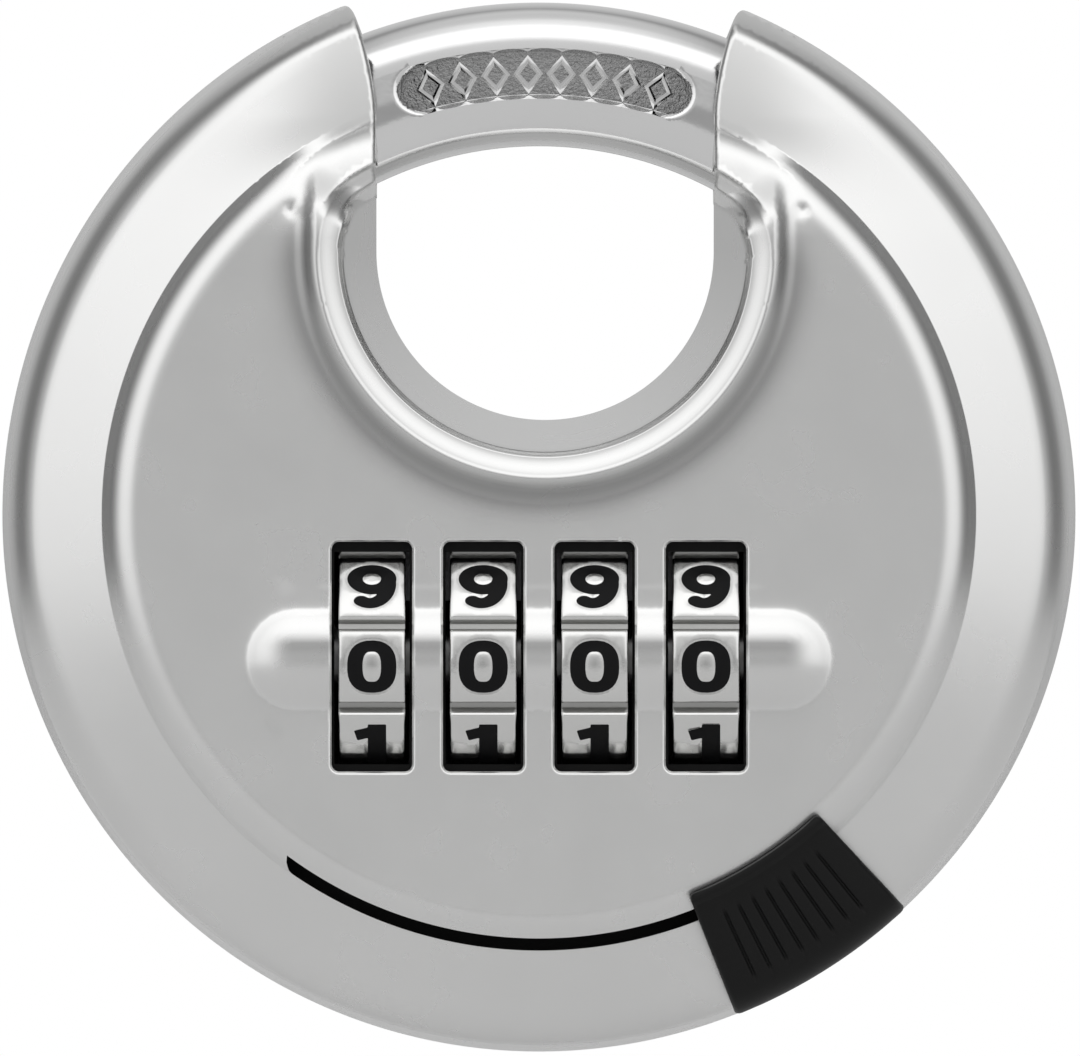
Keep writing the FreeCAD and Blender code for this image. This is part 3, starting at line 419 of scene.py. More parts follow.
def shell_points(front):
    """Free points that follow the rim, the throat, the guard and the flat panel."""
    families = []
    bend_rings = [p[0] for p in arc_points(WALL_TOP, SHOULDER, BEND, 10)]
    step_rings = [p[0] for p in arc_points(STEP, PLATEAU, PLATEAU_BEND, 12)]
    rings = [34.9, 34.7, *bend_rings, 31.5, 30.7, 29.9, 29.2, 28.7, *np.linspace(28.45, 28.0, 5)]
    rings += [33.9, 33.7, 33.5, 33.2, 33.0, 32.8, *step_rings, 25.2, 24.6]
    for radius in rings:
        ring = rim_line(radius, np.arange(0, 360, 0.75))
        families.append((ring[throat_distance(*ring.T) > 0.1], 0.09))
    for inset in (-0.04, 0, *np.linspace(0.2, 0.85, 5), *np.linspace(1.0, 2.0, 7), 2.5, 3.2):
        families.append((edge_lines(inset), 0.1))
    gaps = [*np.linspace(0.2, 1.9, 8), *np.linspace(LEAN, 3.2, 9), 3.4, 3.58]
    gaps += [*np.linspace(CREST, 6.4, 11), 6.9, 7.6, 8.4]
    for gap in gaps:
        line = throat_line(gap)
        line = line[rim_radius(*line.T) < DISC_RADIUS - 0.1]
        families.append((line, np.where(edge_inset(*line.T)[1] > 0.01, 0.14, 0.09)))
    if front:
        guard = [(reach, 0.6) for reach in np.linspace(0.3, GUARD_REACH - 0.1, 9)]
        guard += [(GUARD_REACH + beyond, 0.5) for beyond in (0, 0.08, 0.16, 0.3, 0.5, 0.8)]
        for reach, step in guard:
            line = rounded_rectangle((0, DIAL_Z), (GUARD_HALF + reach, reach), reach, step=step)
            families.append((line, 0.1))
        across = np.arange(-GUARD_HALF, GUARD_HALF + 0.1, 0.6)
        families.append((np.stack((across, np.full(len(across), DIAL_Z)), -1), 0.1))
        for centre in DIAL_X:
            for grow in (0.05, 0.1, 0.16, 0.24, 0.36, 0.6):
                loop = rounded_rectangle((centre, WINDOW_Z), WINDOW_HALF, WINDOW_CORNER, grow)
                families.append((loop, 0.05))
    side = np.arange(-24.5, 24.6, 0.9)
    grid = np.stack(np.meshgrid(side, side), -1).reshape(-1, 2)
    grid = grid[(np.hypot(*grid.T) < 24.3) & (throat_distance(*grid.T) > 8.6)]
    families.append((grid, 0.5))
    return families


def thinned(loops, families):
    """Loop points first, then each free point that isn't too close to an earlier one."""
    cell = 0.5
    taken, points = {}, []

    def take(x, z):
        taken.setdefault((int(x // cell), int(z // cell)), []).append((x, z))
        points.append((float(x), float(z)))

    def crowded(x, z, spacing):
        i, j = int(x // cell), int(z // cell)
        for di in (-1, 0, 1):
            for dj in (-1, 0, 1):
                for u, v in taken.get((i + di, j + dj), ()):
                    if (u - x) ** 2 + (v - z) ** 2 < spacing**2:
                        return True
        return False

    for loop in loops:
        for x, z in loop:
            take(x, z)
    for family, spacing in families:
        for (x, z), room in zip(family, np.broadcast_to(spacing, len(family))):
            if not crowded(x, z, room):
                take(x, z)
    return points


def joined_up(points, loops):
    """Triangles through the points; the loops, which the points start with, stay as edges."""
    edges, start = [], 0
    for loop in loops:
        count = len(loop)
        edges += [(start + i, start + (i + 1) % count) for i in range(count)]
        start += count
    found, _, faces, *_ = delaunay_2d_cdt([Vector(p) for p in points], edges, [], 0, 1e-5)
    return np.array([tuple(v) for v in found]), np.array([tuple(f) for f in faces if len(f) == 3])


def triangulated(outline, holes, families):
    """Triangles of the region inside the outline and outside the holes."""
    loops = [outline, *holes]
    flat, faces = joined_up(thinned(loops, families), loops)
    centres = flat[faces].mean(axis=1)
    keep = inside(centres, outline)
    for hole in holes:
        keep &= ~inside(centres, hole)
    faces = faces[keep]
    used = np.unique(faces)
    order = np.full(len(flat), -1)
    order[used] = np.arange(len(used))
    return flat[used], order[faces]


# ---- mesh making


def placed(name, data):
    """A new object in the scene."""
    thing = bpy.data.objects.new(name, data)
    bpy.context.scene.collection.objects.link(thing)
    return thing


def make_object(name, body, vertices, faces, normals=None, smooth=True):
    """A piece from millimetre points, riding on a body."""
    mesh = bpy.data.meshes.new(name)
    mesh.from_pydata((np.asarray(vertices, float) * MM).tolist(), [], [tuple(f) for f in faces])
    mesh.validate(clean_customdata=False)
    mesh.update()
    mesh.polygons.foreach_set("use_smooth", [smooth] * len(mesh.polygons))
    if normals is not None:
        mesh.normals_split_custom_set(normals)
    piece = placed(name, mesh)
    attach(piece, body)
    return piece


def pressed_shell(name, side, node):
    """A half shell of real thickness: skin, inside face and the edges that join them."""
    front = side < 0
    holes = []
    if front:
        holes = [rounded_rectangle((c, WINDOW_Z), WINDOW_HALF, WINDOW_CORNER) for c in DIAL_X]
        holes.append(slot_loop())
    flat, faces = triangulated(disc_outline(), holes, shell_points(front))
    x, z = flat.T
    height = np.maximum(shell_height(x, z, front=front), 0)
    height = np.where(rim_radius(x, z) > DISC_RADIUS - 0.01, 0, height)
    skin = np.stack((x, side * height, z), -1)
    normal = shell_normal(x, z, side, front=front)
    inward = shell_normal(x, z, side, front=front, edges=False)
    if front:
        inward[:, (0, 2)] *= ease(0, 1.5, slot_distance(x, z))[:, None]
        inward /= np.linalg.norm(inward, axis=1, keepdims=True)
    lining = skin - inward * GAUGE
    lining[:, 1] = side * np.maximum(side * lining[:, 1], 0)
    a, b, c = (skin[faces[:, i]] for i in range(3))
    turned = np.einsum("ij,ij->i", np.cross(b - a, c - a), normal[faces[:, 0]]) < 0
    faces[turned] = faces[turned][:, ::-1]
    count = len(skin)
    pairs = np.concatenate([faces[:, (0, 1)], faces[:, (1, 2)], faces[:, (2, 0)]])
    keys = np.sort(pairs, axis=1)
    _, index, times = np.unique(keys, axis=0, return_index=True, return_counts=True)
    border = pairs[index[times == 1]]
    rim = [(q, p, p + count, q + count) for p, q in border.tolist()]
    all_faces = faces.tolist() + (faces[:, ::-1] + count).tolist() + rim
    vertices = np.concatenate((skin, lining))
    loops = [normal[v] for face in faces for v in face]
    loops += [-normal[v - count] for face in (faces[:, ::-1] + count) for v in face]
    for face in rim:
        corners = vertices[list(face)]
        across = np.cross(corners[2] - corners[0], corners[3] - corners[1])
        across = across / (np.linalg.norm(across) + 1e-12)
        loops += [across] * 4
    piece = make_object(name, "housing", vertices, all_faces, normals=loops)
    # Painted shade: each point stores how much darker its base colour is painted, in the valley
    # outside the bead and along the guard band
    tone = piece.data.attributes.new("shade_and_band", "FLOAT", "POINT")
    tone.data.foreach_set("value", np.tile(shade_and_band_tone(x, z, front), 2).astype(np.float32))
    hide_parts(node)
    return piece


def swept_faces(rows, columns):
    """Faces of a closed section carried along a path, with both ends capped."""
    faces = []
    for row in range(rows - 1):
        for column in range(columns):
            a, b = row * columns + column, row * columns + (column + 1) % columns
            faces.append((a, b, b + columns, a + columns))
    faces.append(tuple(range(columns)))
    faces.append(tuple(range((rows - 1) * columns, rows * columns))[::-1])
    return faces


def welded(piece, distance=0.002):
    """Join points that lie in one place, and turn all faces outwards."""
    bm = bmesh.new()
    bm.from_mesh(piece.data)
    bmesh.ops.remove_doubles(bm, verts=bm.verts, dist=distance * MM)
    bmesh.ops.recalc_face_normals(bm, faces=bm.faces)
    bm.to_mesh(piece.data)
    bm.free()
    return piece


# ---- dials

GROOVE_SINK = 0.6
DIGIT_SINK = 0.05
DIGIT_WALL = 0.1
DIGIT_STEP = 0.09
STROKE, NARROWING = 0.47, 0.74
DIGIT_A, DIGIT_B = 1.1, 1.36
PAD_HALF_TURN, SECTOR_HALF_TURN = 14.3, 18
BEVEL_RUN, BEVEL_SINK = (0, 0.1, 0.22, 0.34, 0.4), (0, 0.03, 0.16, 0.5, GROOVE_SINK)
FIELD_STEP = 0.045


def curve(cx, cz, rx, rz, start, end, squareness=1.0):
    """A stroke along part of an ellipse, or of a squarer loop below 1."""
    turns = np.radians(np.linspace(start, end, 30))
    across = np.sign(np.cos(turns)) * np.abs(np.cos(turns)) ** squareness
    along = np.sign(np.sin(turns)) * np.abs(np.sin(turns)) ** squareness
    return np.stack((cx + rx * across, cz + rz * along), -1)


def digit_strokes(digit):
    """Curved strokes and straight bars of one digit, about its middle."""
    a, b = DIGIT_A, DIGIT_B
    six = [curve(0, -0.5, a, 0.82, 0, 360), curve(0.12, -0.1, a + 0.1, b + 0.06, 190, 62)]
    shapes = {
        0: ([curve(0, 0, a, b, 0, 360, 0.78)], []),
        1: ([], [((0.33, -1.72), (0.33, 1.72), 0.7), ((-1.15, 0.72), (0.5, 1.2), 0.5)]),
        2: ([curve(0, 0.55, a, 0.78, 165, -28)], [((0.86, 0.1), (-0.9, -1.2), 0.42),
            ((-1.4, -1.36), (1.45, -1.36), 0.4)]),
        3: ([curve(-0.1, 0.68, 1.02, 0.66, 150, -90),
            curve(-0.1, -0.66, 1.16, 0.68, 90, -150)], []),
        4: ([], [((0.5, -1.75), (0.5, 1.75), 0.5), ((0.3, 1.45), (-1.1, -0.35), 0.36),
            ((-1.5, -0.62), (1.55, -0.62), 0.38)]),
        5: ([curve(-0.08, -0.48, 1.1, 0.86, 138, -150)], [((-0.95, 1.36), (1.25, 1.36), 0.4),
            ((-0.78, 1.6), (-0.9, 0.0), 0.4)]),
        6: (six, []),
        7: ([], [((-1.4, 1.36), (1.4, 1.36), 0.4), ((0.95, 1.3), (-0.3, -1.75), 0.46)]),
        8: ([curve(0, 0.7, 0.92, 0.62, 0, 360), curve(0, -0.66, 1.08, 0.68, 0, 360)], []),
        9: ([-stroke for stroke in six], []),
    }
    return shapes[digit]


def digit_distance(points, digit):
    """Signed distance to a digit's outline, negative inside."""
    curves, bars = digit_strokes(digit)
    best = np.full(len(points), 9.0)
    for line in curves:
        line = line * (NARROWING, 1)
        start, along = line[:-1], np.diff(line, axis=0)
        reach = (points * (NARROWING, 1))[:, None, :] - start[None]
        part = np.einsum("nmk,mk->nm", reach, along) / np.einsum("mk,mk->m", along, along)
        part = np.clip(part, 0, 1)[..., None]
        gap = np.linalg.norm(reach - part * along[None], axis=2).min(axis=1)
        best = np.minimum(best, gap - STROKE)
    for start, end, half in bars:
        start, end = np.array(start), np.array(end)
        length = np.linalg.norm(end - start)
        along = (end - start) / length
        offset = points - (start + end) / 2
        u = np.abs(offset @ along) - length / 2
        v = np.abs(offset @ np.array((-along[1], along[0]))) - half
        outside = np.hypot(np.maximum(u, 0), np.maximum(v, 0))
        best = np.minimum(best, outside + np.minimum(np.maximum(u, v), 0))
    return best


def snapped(points, distance, level, reach, free):
    """Move free points near one contour of a distance field onto it."""
    here = distance(points) - level
    step = 0.01
    offsets = np.eye(2) * step
    slope = [(distance(points + way) - distance(points - way)) / (2 * step) for way in offsets]
    slope = np.stack(slope, -1)
    size = np.maximum((slope**2).sum(axis=1), 0.2)
    move = -(here / size)[:, None] * slope
    near = (np.abs(here) < reach) & free
    return np.where(near[:, None], points + move, points), near


def contour_loops(field, across, round_):
    """Closed loops where a field of values on a grid crosses zero."""
    crossings, joins = {}, {}
    low = field < 0
    for j in range(len(round_) - 1):
        for i in range(len(across) - 1):
            corners = ((j, i), (j, i + 1), (j + 1, i + 1), (j + 1, i))
            cuts = []
            for a, b in zip(corners, corners[1:] + corners[:1]):
                if low[a] == low[b]:
                    continue
                key = (min(a, b), max(a, b))
                part = field[key[0]] / (field[key[0]] - field[key[1]])
                start = np.array((across[key[0][1]], round_[key[0][0]]))
                end = np.array((across[key[1][1]], round_[key[1][0]]))
                crossings[key] = start + part * (end - start)
                cuts.append(key)
            for a, b in zip(cuts[::2], cuts[1::2]):
                joins.setdefault(a, []).append(b)
                joins.setdefault(b, []).append(a)
    loops, seen = [], set()
    for key in joins:
        loop = []
        while key not in seen:
            seen.add(key)
            loop.append(crossings[key])
            key = next((near for near in joins[key] if near not in seen), key)
        if len(loop) > 8:
            loops.append(evened(np.array(loop), DIGIT_STEP))
    return loops


def evened(loop, step):
    """A closed loop with its points at even spacing."""
    closed = np.concatenate((loop, loop[:1]))
    run = np.concatenate(([0], np.cumsum(np.hypot(*np.diff(closed, axis=0).T))))
    places = np.linspace(0, run[-1], max(8, int(run[-1] / step)) + 1)[:-1]
    return np.stack([np.interp(places, run, closed[:, k]) for k in (0, 1)], -1)


def dial_edge_steps():
    """Where a sector's border points lie, across the dial and round it."""
    pad = math.radians(PAD_HALF_TURN) * DIAL_R
    edge = math.radians(SECTOR_HALF_TURN) * DIAL_R
    across = np.array((0, 0.07, 0.22, 0.6, 1.1, 1.6)) - DIAL_HALF
    across = np.concatenate((across, [0], -across[::-1]))
    bevel = pad + np.array(BEVEL_RUN)
    round_ = np.concatenate(([-edge], -bevel[::-1], np.linspace(-pad, pad, 15)[1:-1], bevel, [edge]))
    return across, round_, pad


def dial_sector(digit):
    """One digit's sector: flat points (across, round), their radius, faces, finish of each face."""
    across, round_, pad = dial_edge_steps()
    grid = np.stack(np.meshgrid(across, round_), -1).reshape(-1, 2)
    fine_x = np.arange(-DIAL_HALF + 0.3, DIAL_HALF - 0.3, FIELD_STEP)
    fine_v = np.arange(-pad + 0.05, pad - 0.05, FIELD_STEP)
    field = digit_distance(np.stack(np.meshgrid(fine_x, fine_v), -1).reshape(-1, 2), digit)
    field = field.reshape(len(fine_v), len(fine_x))
    outer = contour_loops(field, fine_x, fine_v)
    inner = contour_loops(field + DIGIT_WALL, fine_x, fine_v)
    gap = np.abs(digit_distance(grid, digit))
    free = grid[(gap > 0.16) | (np.abs(grid[:, 1]) > pad - 0.05)]
    flat, faces = joined_up(np.concatenate((*outer, *inner, free)), outer + inner)
    gap = digit_distance(flat, digit)
    depth = DIGIT_SINK * (gap < -DIGIT_WALL * 0.6)
    beyond = np.abs(flat[:, 1]) - pad
    groove = np.interp(beyond, BEVEL_RUN, BEVEL_SINK)
    rim = np.interp(DIAL_HALF - np.abs(flat[:, 0]), (0, 0.07, 0.22), (0.16, 0.05, 0))
    radius = DIAL_R - 0.03 - np.maximum(depth, np.maximum(groove, rim + groove * 0.7))
    middles = flat[faces].mean(axis=1)
    finishes = np.where(digit_distance(middles, digit) < -DIGIT_WALL, 1, 0)
    # Groove faces take the darker groove finish: painted shade in the grooves between the flats
    finishes[np.abs(middles[:, 1]) > pad + 0.2] = 2
    return flat, radius, faces, finishes


def dial_mesh(number):
    """A dial with ten sunk digits, grooves between the flats, side faces and a bore."""
    centre = DIAL_X[number - 1]
    vertices, faces, inked_and_shaded = [], [], []

    def place(across, radius, angle):
        vertices.append(
            (centre + across, DIAL_Y - radius * math.cos(angle), DIAL_Z + radius * math.sin(angle))
        )
        return len(vertices) - 1

    for digit in range(10):
        flat, radius, sector, ink_and_shade = SECTORS[digit]
        turn = flat[:, 1] / DIAL_R - math.radians(2 * SECTOR_HALF_TURN * digit) + DIAL_REST
        first = len(vertices)
        for (across, _), ring, angle in zip(flat, radius, turn):
            place(across, ring, angle)
        faces += (sector + first).tolist()
        inked_and_shaded += ink_and_shade.tolist()
        for side in (-1, 1):
            border = np.flatnonzero(np.abs(flat[:, 0] - side * DIAL_HALF) < 1e-4)
            border = border[np.argsort(flat[border, 1])]
            for a, b in zip(border, border[1:]):
                near = [place(side * DIAL_HALF, DIAL_BORE, turn[v]) for v in (a, b)]
                faces.append((first + a, first + b, *near[::-1]))
                inked_and_shaded.append(0)
                if side < 0:
                    far = [place(DIAL_HALF, DIAL_BORE, turn[v]) for v in (a, b)]
                    faces.append((*near, *far[::-1]))
                    inked_and_shaded.append(0)
    piece = make_object(f"number_dial_{number}", f"dial_{number}_body", vertices, faces)
    piece.data.polygons.foreach_set("material_index", inked_and_shaded)
    welded(piece)
    shade_by_angle(piece, 38)
    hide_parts(f"dial_{number}")
    return piece


def shade_by_angle(piece, degrees):
    """Smooth shading, sharp where faces meet at more than an angle."""
    bm = bmesh.new()
    bm.from_mesh(piece.data)
    limit = math.radians(degrees)
    for edge in bm.edges:
        edge.smooth = len(edge.link_faces) == 2 and edge.calc_face_angle(0) < limit
    for face in bm.faces:
        face.smooth = True
    bm.to_mesh(piece.data)
    bm.free()


# ---- shackle

PANEL_MIDDLE, PANEL_HALF_TURN = 89.25, 19.95
PANEL_R, PANEL_HALF = 28.75, 1.65
PANEL_SINK = 0.5
OUTER_BEND, INNER_BEND = 3.0, 1.4
FACE_COLUMNS, FACE_FALL = 46, 0.045
FINE_FROM, FINE_TO = 111.5, 67
GRAIN_INSIDE = -0.3  # the floor's grain starts this far inside the panel's outline

NOTCH_GAP = 0.35
NOTCH_START = 18.0
BOLT_TRAVEL = 3
BOLT_HALF_DEPTH, BOLT_HALF_HEIGHT = 2.2, 1.9


def panel_distance(along, radius):
    """Signed distance to the sunk panel's outline; along is arc length from its middle."""
    length = math.radians(PANEL_HALF_TURN) * PANEL_R - PANEL_HALF
    return np.hypot(np.maximum(np.abs(along) - length, 0), radius - PANEL_R) - PANEL_HALF


def shackle_section():
    """Closed section of (radius, y) points, fine across the front face."""
    y = RING_HALF
    front = [
        (r, -y + FACE_FALL * max(PANEL_R - r, 0) ** 2)
        for r in np.linspace(RING_OUT - OUTER_BEND, RING_IN + INNER_BEND, FACE_COLUMNS)
    ]
    inner = arc_points(front[-1], (RING_IN + 0.8, -y + 0.95), -1.25, 8)
    inner += arc_points((RING_IN + 0.75, -y + 1.04), (RING_IN, -y + 2.6), -5.9, 6)
    rear_in = arc_points((RING_IN, y - OUTER_BEND), (RING_IN + OUTER_BEND, y), -OUTER_BEND, 8)
    rear_out = arc_points((RING_OUT - OUTER_BEND, y), (RING_OUT, y - OUTER_BEND), -OUTER_BEND, 8)
    outer = arc_points((RING_OUT, -y + OUTER_BEND), (RING_OUT - OUTER_BEND, -y), -OUTER_BEND, 12)
    middle_in = [(RING_IN, v) for v in (0.0, 1.2)]
    middle_rear = [(r, y) for r in (28.0, 29.5)]
    middle_out = [(RING_OUT, v) for v in (1.0, 0.0, -1.0)]
    return np.array(front + inner[1:] + middle_in + rear_in + middle_rear + rear_out
                    + middle_out + outer[:-1])


def shackle_mesh():
    """The ring with its sunk panel, fine only along the panel's stretch."""
    section = shackle_section()
    before = np.arange(RING_TIP, FINE_FROM + 0.5, -1.0)
    fine = np.arange(FINE_FROM, FINE_TO, -0.22)
    after = np.arange(FINE_TO - 1, RING_TAIL - 0.5, -1.5)
    turns = np.concatenate((before, fine, after))
    radius, depth = (np.tile(column, (len(turns), 1)) for column in section.T)
    turn = np.repeat(turns[:, None], len(section), axis=1)
    along = np.radians(turn - PANEL_MIDDLE) * PANEL_R
    is_front = np.tile(np.arange(len(section)) < FACE_COLUMNS, len(turns))
    flat = np.stack((along, radius), -1).reshape(-1, 2)

    def distance(points):
        return panel_distance(points[:, 0], points[:, 1])

    inner_rows = section[:, 0] > RING_IN + INNER_BEND + 0.2
    inner_rows &= section[:, 0] < RING_OUT - OUTER_BEND - 0.1
    free = is_front & np.tile(inner_rows, len(turns)) & (np.abs(flat[:, 0]) < 10.6)
    moved, near = snapped(flat, distance, 0.0, 0.055, free)
    moved, _ = snapped(moved, distance, GRAIN_INSIDE, 0.05, free & ~near)
    gap = distance(moved)
    slope = 0.3 + 0.6 * ease(8.0, 9.4, np.abs(moved[:, 0]))
    sink = np.where(is_front, PANEL_SINK * ease(0, 1, np.clip(-gap / slope, 0, 1)), 0)
    turn = moved[:, 0] / PANEL_R + math.radians(PANEL_MIDDLE)
    ring = moved[:, 1]
    vertices = np.stack((ring * np.cos(turn), depth.reshape(-1) + sink, ring * np.sin(turn)), -1)
    faces = swept_faces(len(turns), len(section))
    piece = make_object("shackle_ring", "shackle_body", vertices, faces)
    grain = [
        len(face) == 4 and bool(np.mean([gap[v] for v in face]) < GRAIN_INSIDE)
        and bool(np.mean([is_front[v] for v in face]) > 0.9)
        for face in faces
    ]
    piece.data.polygons.foreach_set("material_index", [int(g) for g in grain])
    welded(piece, 0.0005)
    bolt_notches(piece)
    shade_by_angle(piece, 30)
    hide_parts("shackle")
    return piece


def bolt_notches(piece):
    """Cut the two notches that the bolt's nose enters, closed and open."""
    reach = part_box("locking_bolt")[1][0] / MM + BOLT_TRAVEL + NOTCH_GAP
    depth, height = 2 * (BOLT_HALF_DEPTH + NOTCH_GAP), 2 * (BOLT_HALF_HEIGHT + NOTCH_GAP)
    size = (reach - NOTCH_START, depth, height)
    middle = ((reach + NOTCH_START) / 2, 0.0, DIAL_Z)
    for number, turn in enumerate((0.0, SHACKLE_TRAVEL)):
        bm = bmesh.new()
        bmesh.ops.create_cube(bm, size=1)
        for vertex in bm.verts:
            vertex.co = Vector([middle[k] + vertex.co[k] * size[k] for k in range(3)]) * MM
        bmesh.ops.rotate(bm, verts=bm.verts, matrix=turning(turn))
        mesh = bpy.data.meshes.new(f"notch_tool_{number}")
        bm.to_mesh(mesh)
        bm.free()
        tool = placed(f"notch_tool_{number}", mesh)
        cutter = piece.modifiers.new("notch", "BOOLEAN")
        cutter.operation = "DIFFERENCE"
        cutter.object = tool
        bpy.context.view_layer.update()
        graph = bpy.context.evaluated_depsgraph_get()
        shaped = bpy.data.meshes.new_from_object(piece.evaluated_get(graph))
        piece.modifiers.clear()
        piece.data = shaped
        bpy.data.objects.remove(tool)
        bpy.data.meshes.remove(mesh)


def turning(degrees):
    """Rotation about the disc's axis, anticlockwise seen from the front."""
    return Matrix.Rotation(math.radians(-degrees), 3, "Y")


LOZENGES, LOZENGE_PITCH = 8, 2.15
SIDE_POINTS = 4


def panel_lozenges():
    """Plain raised lozenge outlines on the sunk panel's floor."""
    floor = -RING_HALF + PANEL_SINK
    rails = ((0.0, 0.05), (0.2, -0.1), (0.28, -0.1), (0.48, 0.05))
    around = 4 * SIDE_POINTS
    vertices, faces = [], []
    for number in range(LOZENGES):
        middle = (number - (LOZENGES - 1) / 2) * LOZENGE_PITCH
        first = len(vertices)
        for inset, rise in rails:
            half_wide, half_tall = 1.05 - inset * 1.25, 1.32 - inset * 1.6
            for corner in range(4):
                for part in np.linspace(0, 1, SIDE_POINTS + 1)[:-1]:
                    here = polar(1, corner * 90) * (half_wide, half_tall)
                    there = polar(1, corner * 90 + 90) * (half_wide, half_tall)
                    point = here + (there - here) * part
                    turn = (middle + point[0]) / PANEL_R + math.radians(PANEL_MIDDLE)
                    ring = PANEL_R + point[1]
                    vertices.append((ring * math.cos(turn), floor + rise, ring * math.sin(turn)))
        for level in range(len(rails)):
            low = first + level * around
            high = first + (level + 1) % len(rails) * around
            for step in range(around):
                after = (step + 1) % around
                faces.append((low + step, low + after, high + after, high + step))
    piece = make_object("panel_lozenges", "shackle_body", vertices, faces)
    welded(piece)
    shade_by_angle(piece, 30)
    return piece


# ---- thumb tab

TAB_GROOVES = 8
TAB_GROOVE_PITCH = 2.05
TAB_GROOVE_DEPTH = 0.2
TAB_MIDDLE_R = 30.7
TAB_END_STEPS, TAB_END_INSETS = (0, 0.15, 0.4, 0.75), (0.42, 0.2, 0.06, 0.0)


def tab_section():
    """Closed section of (radius, height): top from the inner lip outwards, then the underside."""
    top = [(26.55, 12.3), (26.5, 13.15), (26.6, 13.4), (26.85, 13.48), (27.1, 13.36), (27.3, 13.0)]
    top += [(27.5, 12.86), (27.8, 12.78), (28.15, 12.66), (28.6, 12.48)]
    top += [(r, 12.48 - (r - 28.6) * 0.39) for r in np.linspace(28.85, 32.9, 20)]
    top += arc_points((33.2, 10.68), (34.95, 8.1), -2.8, 9)
    under = [(34.98, 7.2), (34.95, 6.7), (33.2, 9.45), (31.0, 10.0), (28.6, 10.9), (28.2, 11.6)]
    under += [(27.4, 12.1), (26.8, 12.26)]
    return np.array(top + under), len(top)


def tab_mesh():
    """The tab: its section carried along an arc, rounded at the ends and grooved across."""
    section, top_count = tab_section()
    middle = (TAB_START + TAB_END) / 2
    centres = [middle + TAB_GROOVE_PITCH * (n - (TAB_GROOVES - 1) / 2) for n in range(TAB_GROOVES)]
    turns = {TAB_START - part for part in TAB_END_STEPS}
    turns |= {TAB_END + part for part in TAB_END_STEPS}
    for centre in centres:
        turns |= {centre + part for part in (-0.32, -0.18, -0.07, 0.07, 0.18, 0.32, 0.62, -0.62)}
    turns = np.array(sorted(turns, reverse=True))
    ends = np.minimum(TAB_START - turns, turns - TAB_END)
    inset = np.interp(ends, TAB_END_STEPS, TAB_END_INSETS)
    radii, heights = section.T
    thickness = np.zeros(len(section))
    thickness[:top_count] = 1.0
    vertices = []
    for turn, shy in zip(turns, inset):
        ditch = max(0.0, 1 - min(abs(turn - c) for c in centres) / 0.25)
        ditch = min(1.0, ditch * 1.6)
        span = ease(28.0, 28.6, radii) * (1 - ease(32.9, 33.4, radii))
        height = heights - thickness * (shy + TAB_GROOVE_DEPTH * ditch * span)
        radius = radii + np.sign(TAB_MIDDLE_R - radii) * shy * 0.5
        x, z = polar(radius, turn).T
        vertices += np.stack((x, -height, z), -1).tolist()
    faces = swept_faces(len(turns), len(section))
    piece = make_object("grip_tab", "shackle_body", vertices, faces)
    welded(piece, 0.0005)
    shade_by_angle(piece, 50)
    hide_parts("thumb_tab")
    return piece


# ---- finishes

BROAD_GRAIN = 6


def add_node(tree, kind, **settings):
    """A new shader node with values on its sockets; _ in a name stands for a space."""
    node = tree.nodes.new("ShaderNode" + kind)
    for socket, value in settings.items():
        node.inputs[socket.replace("_", " ")].default_value = value
    return node


def colour_mix(tree, factor, low, high):
    """A mix of two colours, each a colour or a socket to read it from."""
    mix = add_node(tree, "Mix")
    mix.data_type = "RGBA"
    tree.links.new(factor, mix.inputs["Factor"])
    for socket, colour in (("A", low), ("B", high)):
        if isinstance(colour, tuple):
            mix.inputs[socket].default_value = (*colour, 1)
        else:
            tree.links.new(colour, mix.inputs[socket])
    return mix.outputs["Result"]


def finish(
    name, base, metallic, roughness, grain=0.15, bump=0.1, depth=0.004, blotch=0.0, shade_and_band=0.0, **more
):
    """A surface with fine grain in its relief and broad changes in its tone and roughness.

    grain and depth are in mm; shade_and_band is how much darker the base colour is painted
    where the piece's own shade_and_band value is 1, a painted shade; more sets the shader's own
    sockets.
    """
    material = bpy.data.materials.new(name)
    material.use_nodes = True
    tree = material.node_tree
    shader = tree.nodes["Principled BSDF"]
    shader.inputs["Metallic"].default_value = metallic
    for socket, setting in more.items():
        shader.inputs[socket.replace("_", " ")].default_value = setting
    link = tree.links.new
    place = add_node(tree, "TexCoord").outputs["Object"]
    fine = add_node(tree, "TexNoise", Scale=1 / (grain * MM), Detail=3)
    broad = add_node(tree, "TexNoise", Scale=1 / (BROAD_GRAIN * MM), Detail=4)
    for texture in (fine, broad):
        link(place, texture.inputs["Vector"])
    relief = add_node(tree, "Bump", Strength=bump, Distance=depth * MM)
    link(fine.outputs["Fac"], relief.inputs["Height"])
    link(relief.outputs["Normal"], shader.inputs["Normal"])
    low, high = roughness * (0.92 - blotch), roughness * (1.08 + blotch)
    spread = add_node(tree, "MapRange", To_Min=low, To_Max=high)
    link(broad.outputs["Fac"], spread.inputs["Value"])
    link(spread.outputs["Result"], shader.inputs["Roughness"])
    darker, lighter = tuple(c * 0.96 for c in base), tuple(min(1, c * 1.03) for c in base)
    tone = colour_mix(tree, broad.outputs["Fac"], darker, lighter)
    # Painted shade: the base colour darkens where the piece's own per-point value rises
    if shade_and_band:
        inner = add_node(tree, "Attribute")
        inner.attribute_name = "shade_and_band"
        tone = colour_mix(tree, inner.outputs["Fac"], tone, tuple(c * (1 - shade_and_band) for c in base))
    link(tone, shader.inputs["Base Color"])
    return material


